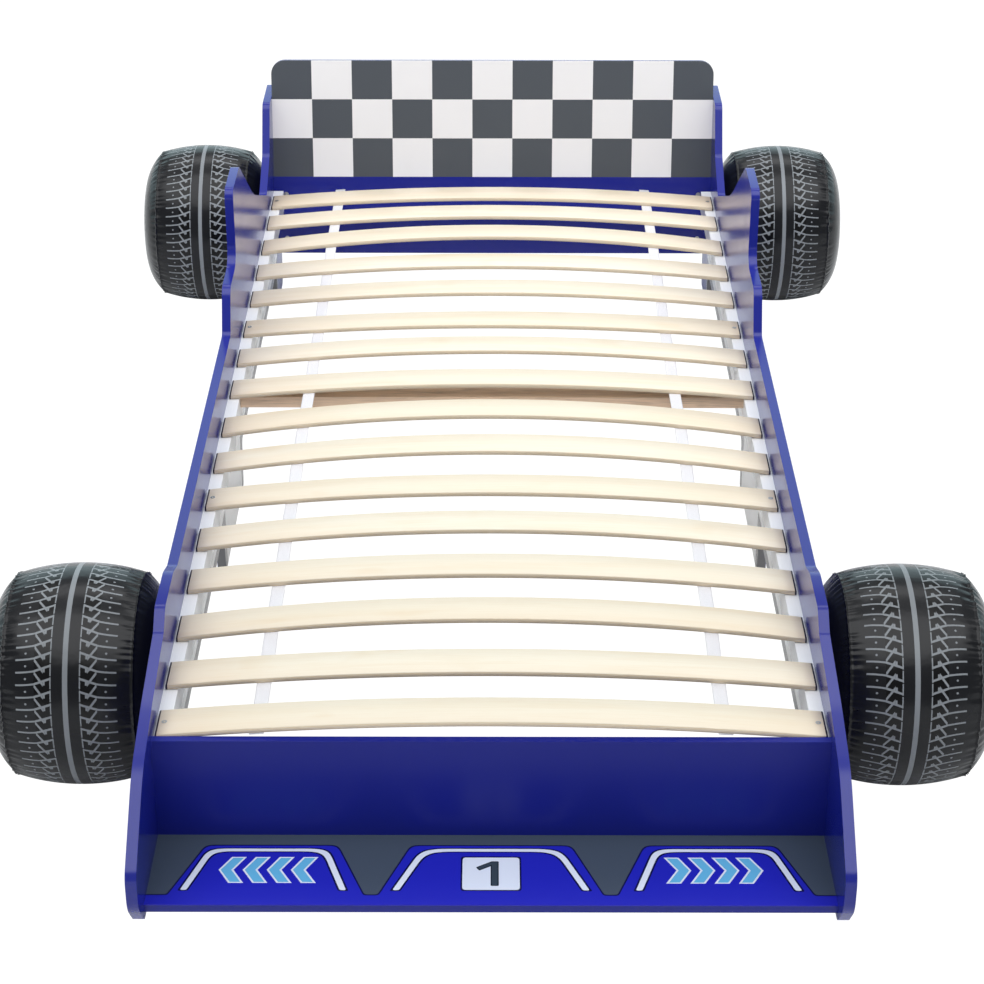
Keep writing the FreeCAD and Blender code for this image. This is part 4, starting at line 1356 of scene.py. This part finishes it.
class BED_OT_wheels(BedOperator, bpy.types.Operator):
    """Four inflated wheels with their printed tread"""
    bl_idname = "car_bed.wheels"
    bl_label = "Wheels"

    def make(self, scene):
        settings = scene.bed_wheels
        seed = settings.seed
        for end in ENDS:
            for side in SIDES:
                node = "wheel_%s_%s" % (end, side)
                name = "inflated_" + node
                low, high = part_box(node)
                radius, half_width = (high.z - low.z) / 2, (high.x - low.x) / 2
                seed += 1
                way = -1 if node == TURNED_WHEEL else 1
                mesh = wheel_mesh(name, settings, (low + high) / 2, radius, half_width, seed, way)
                piece = add_object(name, mesh)
                dress(piece, finish_named("wheel_film"), "bed", "black_pvc", node)


class BED_OT_valves(BedOperator, bpy.types.Operator):
    """Air valves and their hinged stoppers"""
    bl_idname = "car_bed.valves"
    bl_label = "Valves"

    def make(self, scene):
        for end in ENDS:
            for side in SIDES:
                for kind, body in (("body", "bed"), ("plug", "valve_plug_%s_%s" % (end, side))):
                    node = "valve_%s_%s_%s" % (kind, end, side)
                    piece = rounded_copy(node, "moulded_" + node, 0.25 * MM, 2)
                    dress(piece, finish_named("black_pvc"), body, "clear_valve", node)


class BED_OT_pads(BedOperator, bpy.types.Operator):
    """Hook-and-loop pads between the panels and the wheels"""
    bl_idname = "car_bed.pads"
    bl_label = "Pads"

    def make(self, scene):
        for node in ("hook_pads", "loop_pads"):
            NODES[node].data.materials.clear()
            NODES[node].data.materials.append(finish_named("hook_and_loop"))


class BED_OT_fixings(BedOperator, bpy.types.Operator):
    """Screws, bolts, barrel nuts and dowels"""
    bl_idname = "car_bed.fixings"
    bl_label = "Fixings"

    def make(self, scene):
        tree = fixing_tree()
        steel = finish_named("zinc_steel")
        for node in ("rail_screws", "slat_screws", "crossbar_screws", "shelf_side_screws", "shelf_up_screws",
                     "bulkhead_bolts", "headboard_bolts"):
            places = fixing_places(node)
            proud = np.array((0.0, 0.0, SCREW_PROUD)) if node == "slat_screws" else 0.0
            piece = point_cloud("turned_" + node, [head + proud for head, way, length in places],
                                shank_way=[way for head, way, length in places])
            sizes = BOLT if node.endswith("bolts") else SCREW
            run_tree(piece, tree, Length=float(places[0][2]), Material=steel, **sizes)
            bake(piece)
            dress(piece, steel, "bed", "zinc_steel", node)
        for node in ("bulkhead_barrel_nuts", "headboard_barrel_nuts"):
            NODES[node].data.materials.clear()
            NODES[node].data.materials.append(steel)
        beech = finish_named("beech_dowel")
        piece = point_cloud("fluted_dowels", [points.mean(0) for points in islands("seam_dowels")])
        run_tree(piece, dowel_tree(), Radius=4 * MM, Length=32 * MM, Material=beech)
        bake(piece)
        dress(piece, beech, "bed", "beech_dowel", "seam_dowels")


OPERATORS = (BED_OT_stage, BED_OT_side_panels, BED_OT_cross_boards, BED_OT_rails, BED_OT_slats,
             BED_OT_webbing, BED_OT_wheels, BED_OT_valves, BED_OT_pads, BED_OT_fixings)


class BED_PT_panel(bpy.types.Panel):
    """Buttons and settings of the car bed"""
    bl_idname = "BED_PT_panel"
    bl_label = "Car bed"
    bl_space_type = "VIEW_3D"
    bl_region_type = "UI"
    bl_category = "Car bed"

    def draw(self, context):
        for operator in OPERATORS:
            self.layout.operator(operator.bl_idname)
        for name, group in GROUPS:
            box = self.layout.box()
            for key in group.__annotations__:
                box.prop(getattr(context.scene, "bed_" + name), key)


def register():
    for name, group in GROUPS:
        bpy.utils.register_class(group)
        setattr(bpy.types.Scene, "bed_" + name, bpy.props.PointerProperty(type=group))
    for operator in OPERATORS:
        bpy.utils.register_class(operator)
    bpy.utils.register_class(BED_PT_panel)


def unregister():
    bpy.utils.unregister_class(BED_PT_panel)
    for operator in reversed(OPERATORS):
        bpy.utils.unregister_class(operator)
    for name, group in reversed(GROUPS):
        delattr(bpy.types.Scene, "bed_" + name)
        bpy.utils.unregister_class(group)


def main():
    register()
    for operator in OPERATORS:
        getattr(bpy.ops.car_bed, operator.bl_idname.split(".")[1])()


if __name__ == "__main__":
    main()
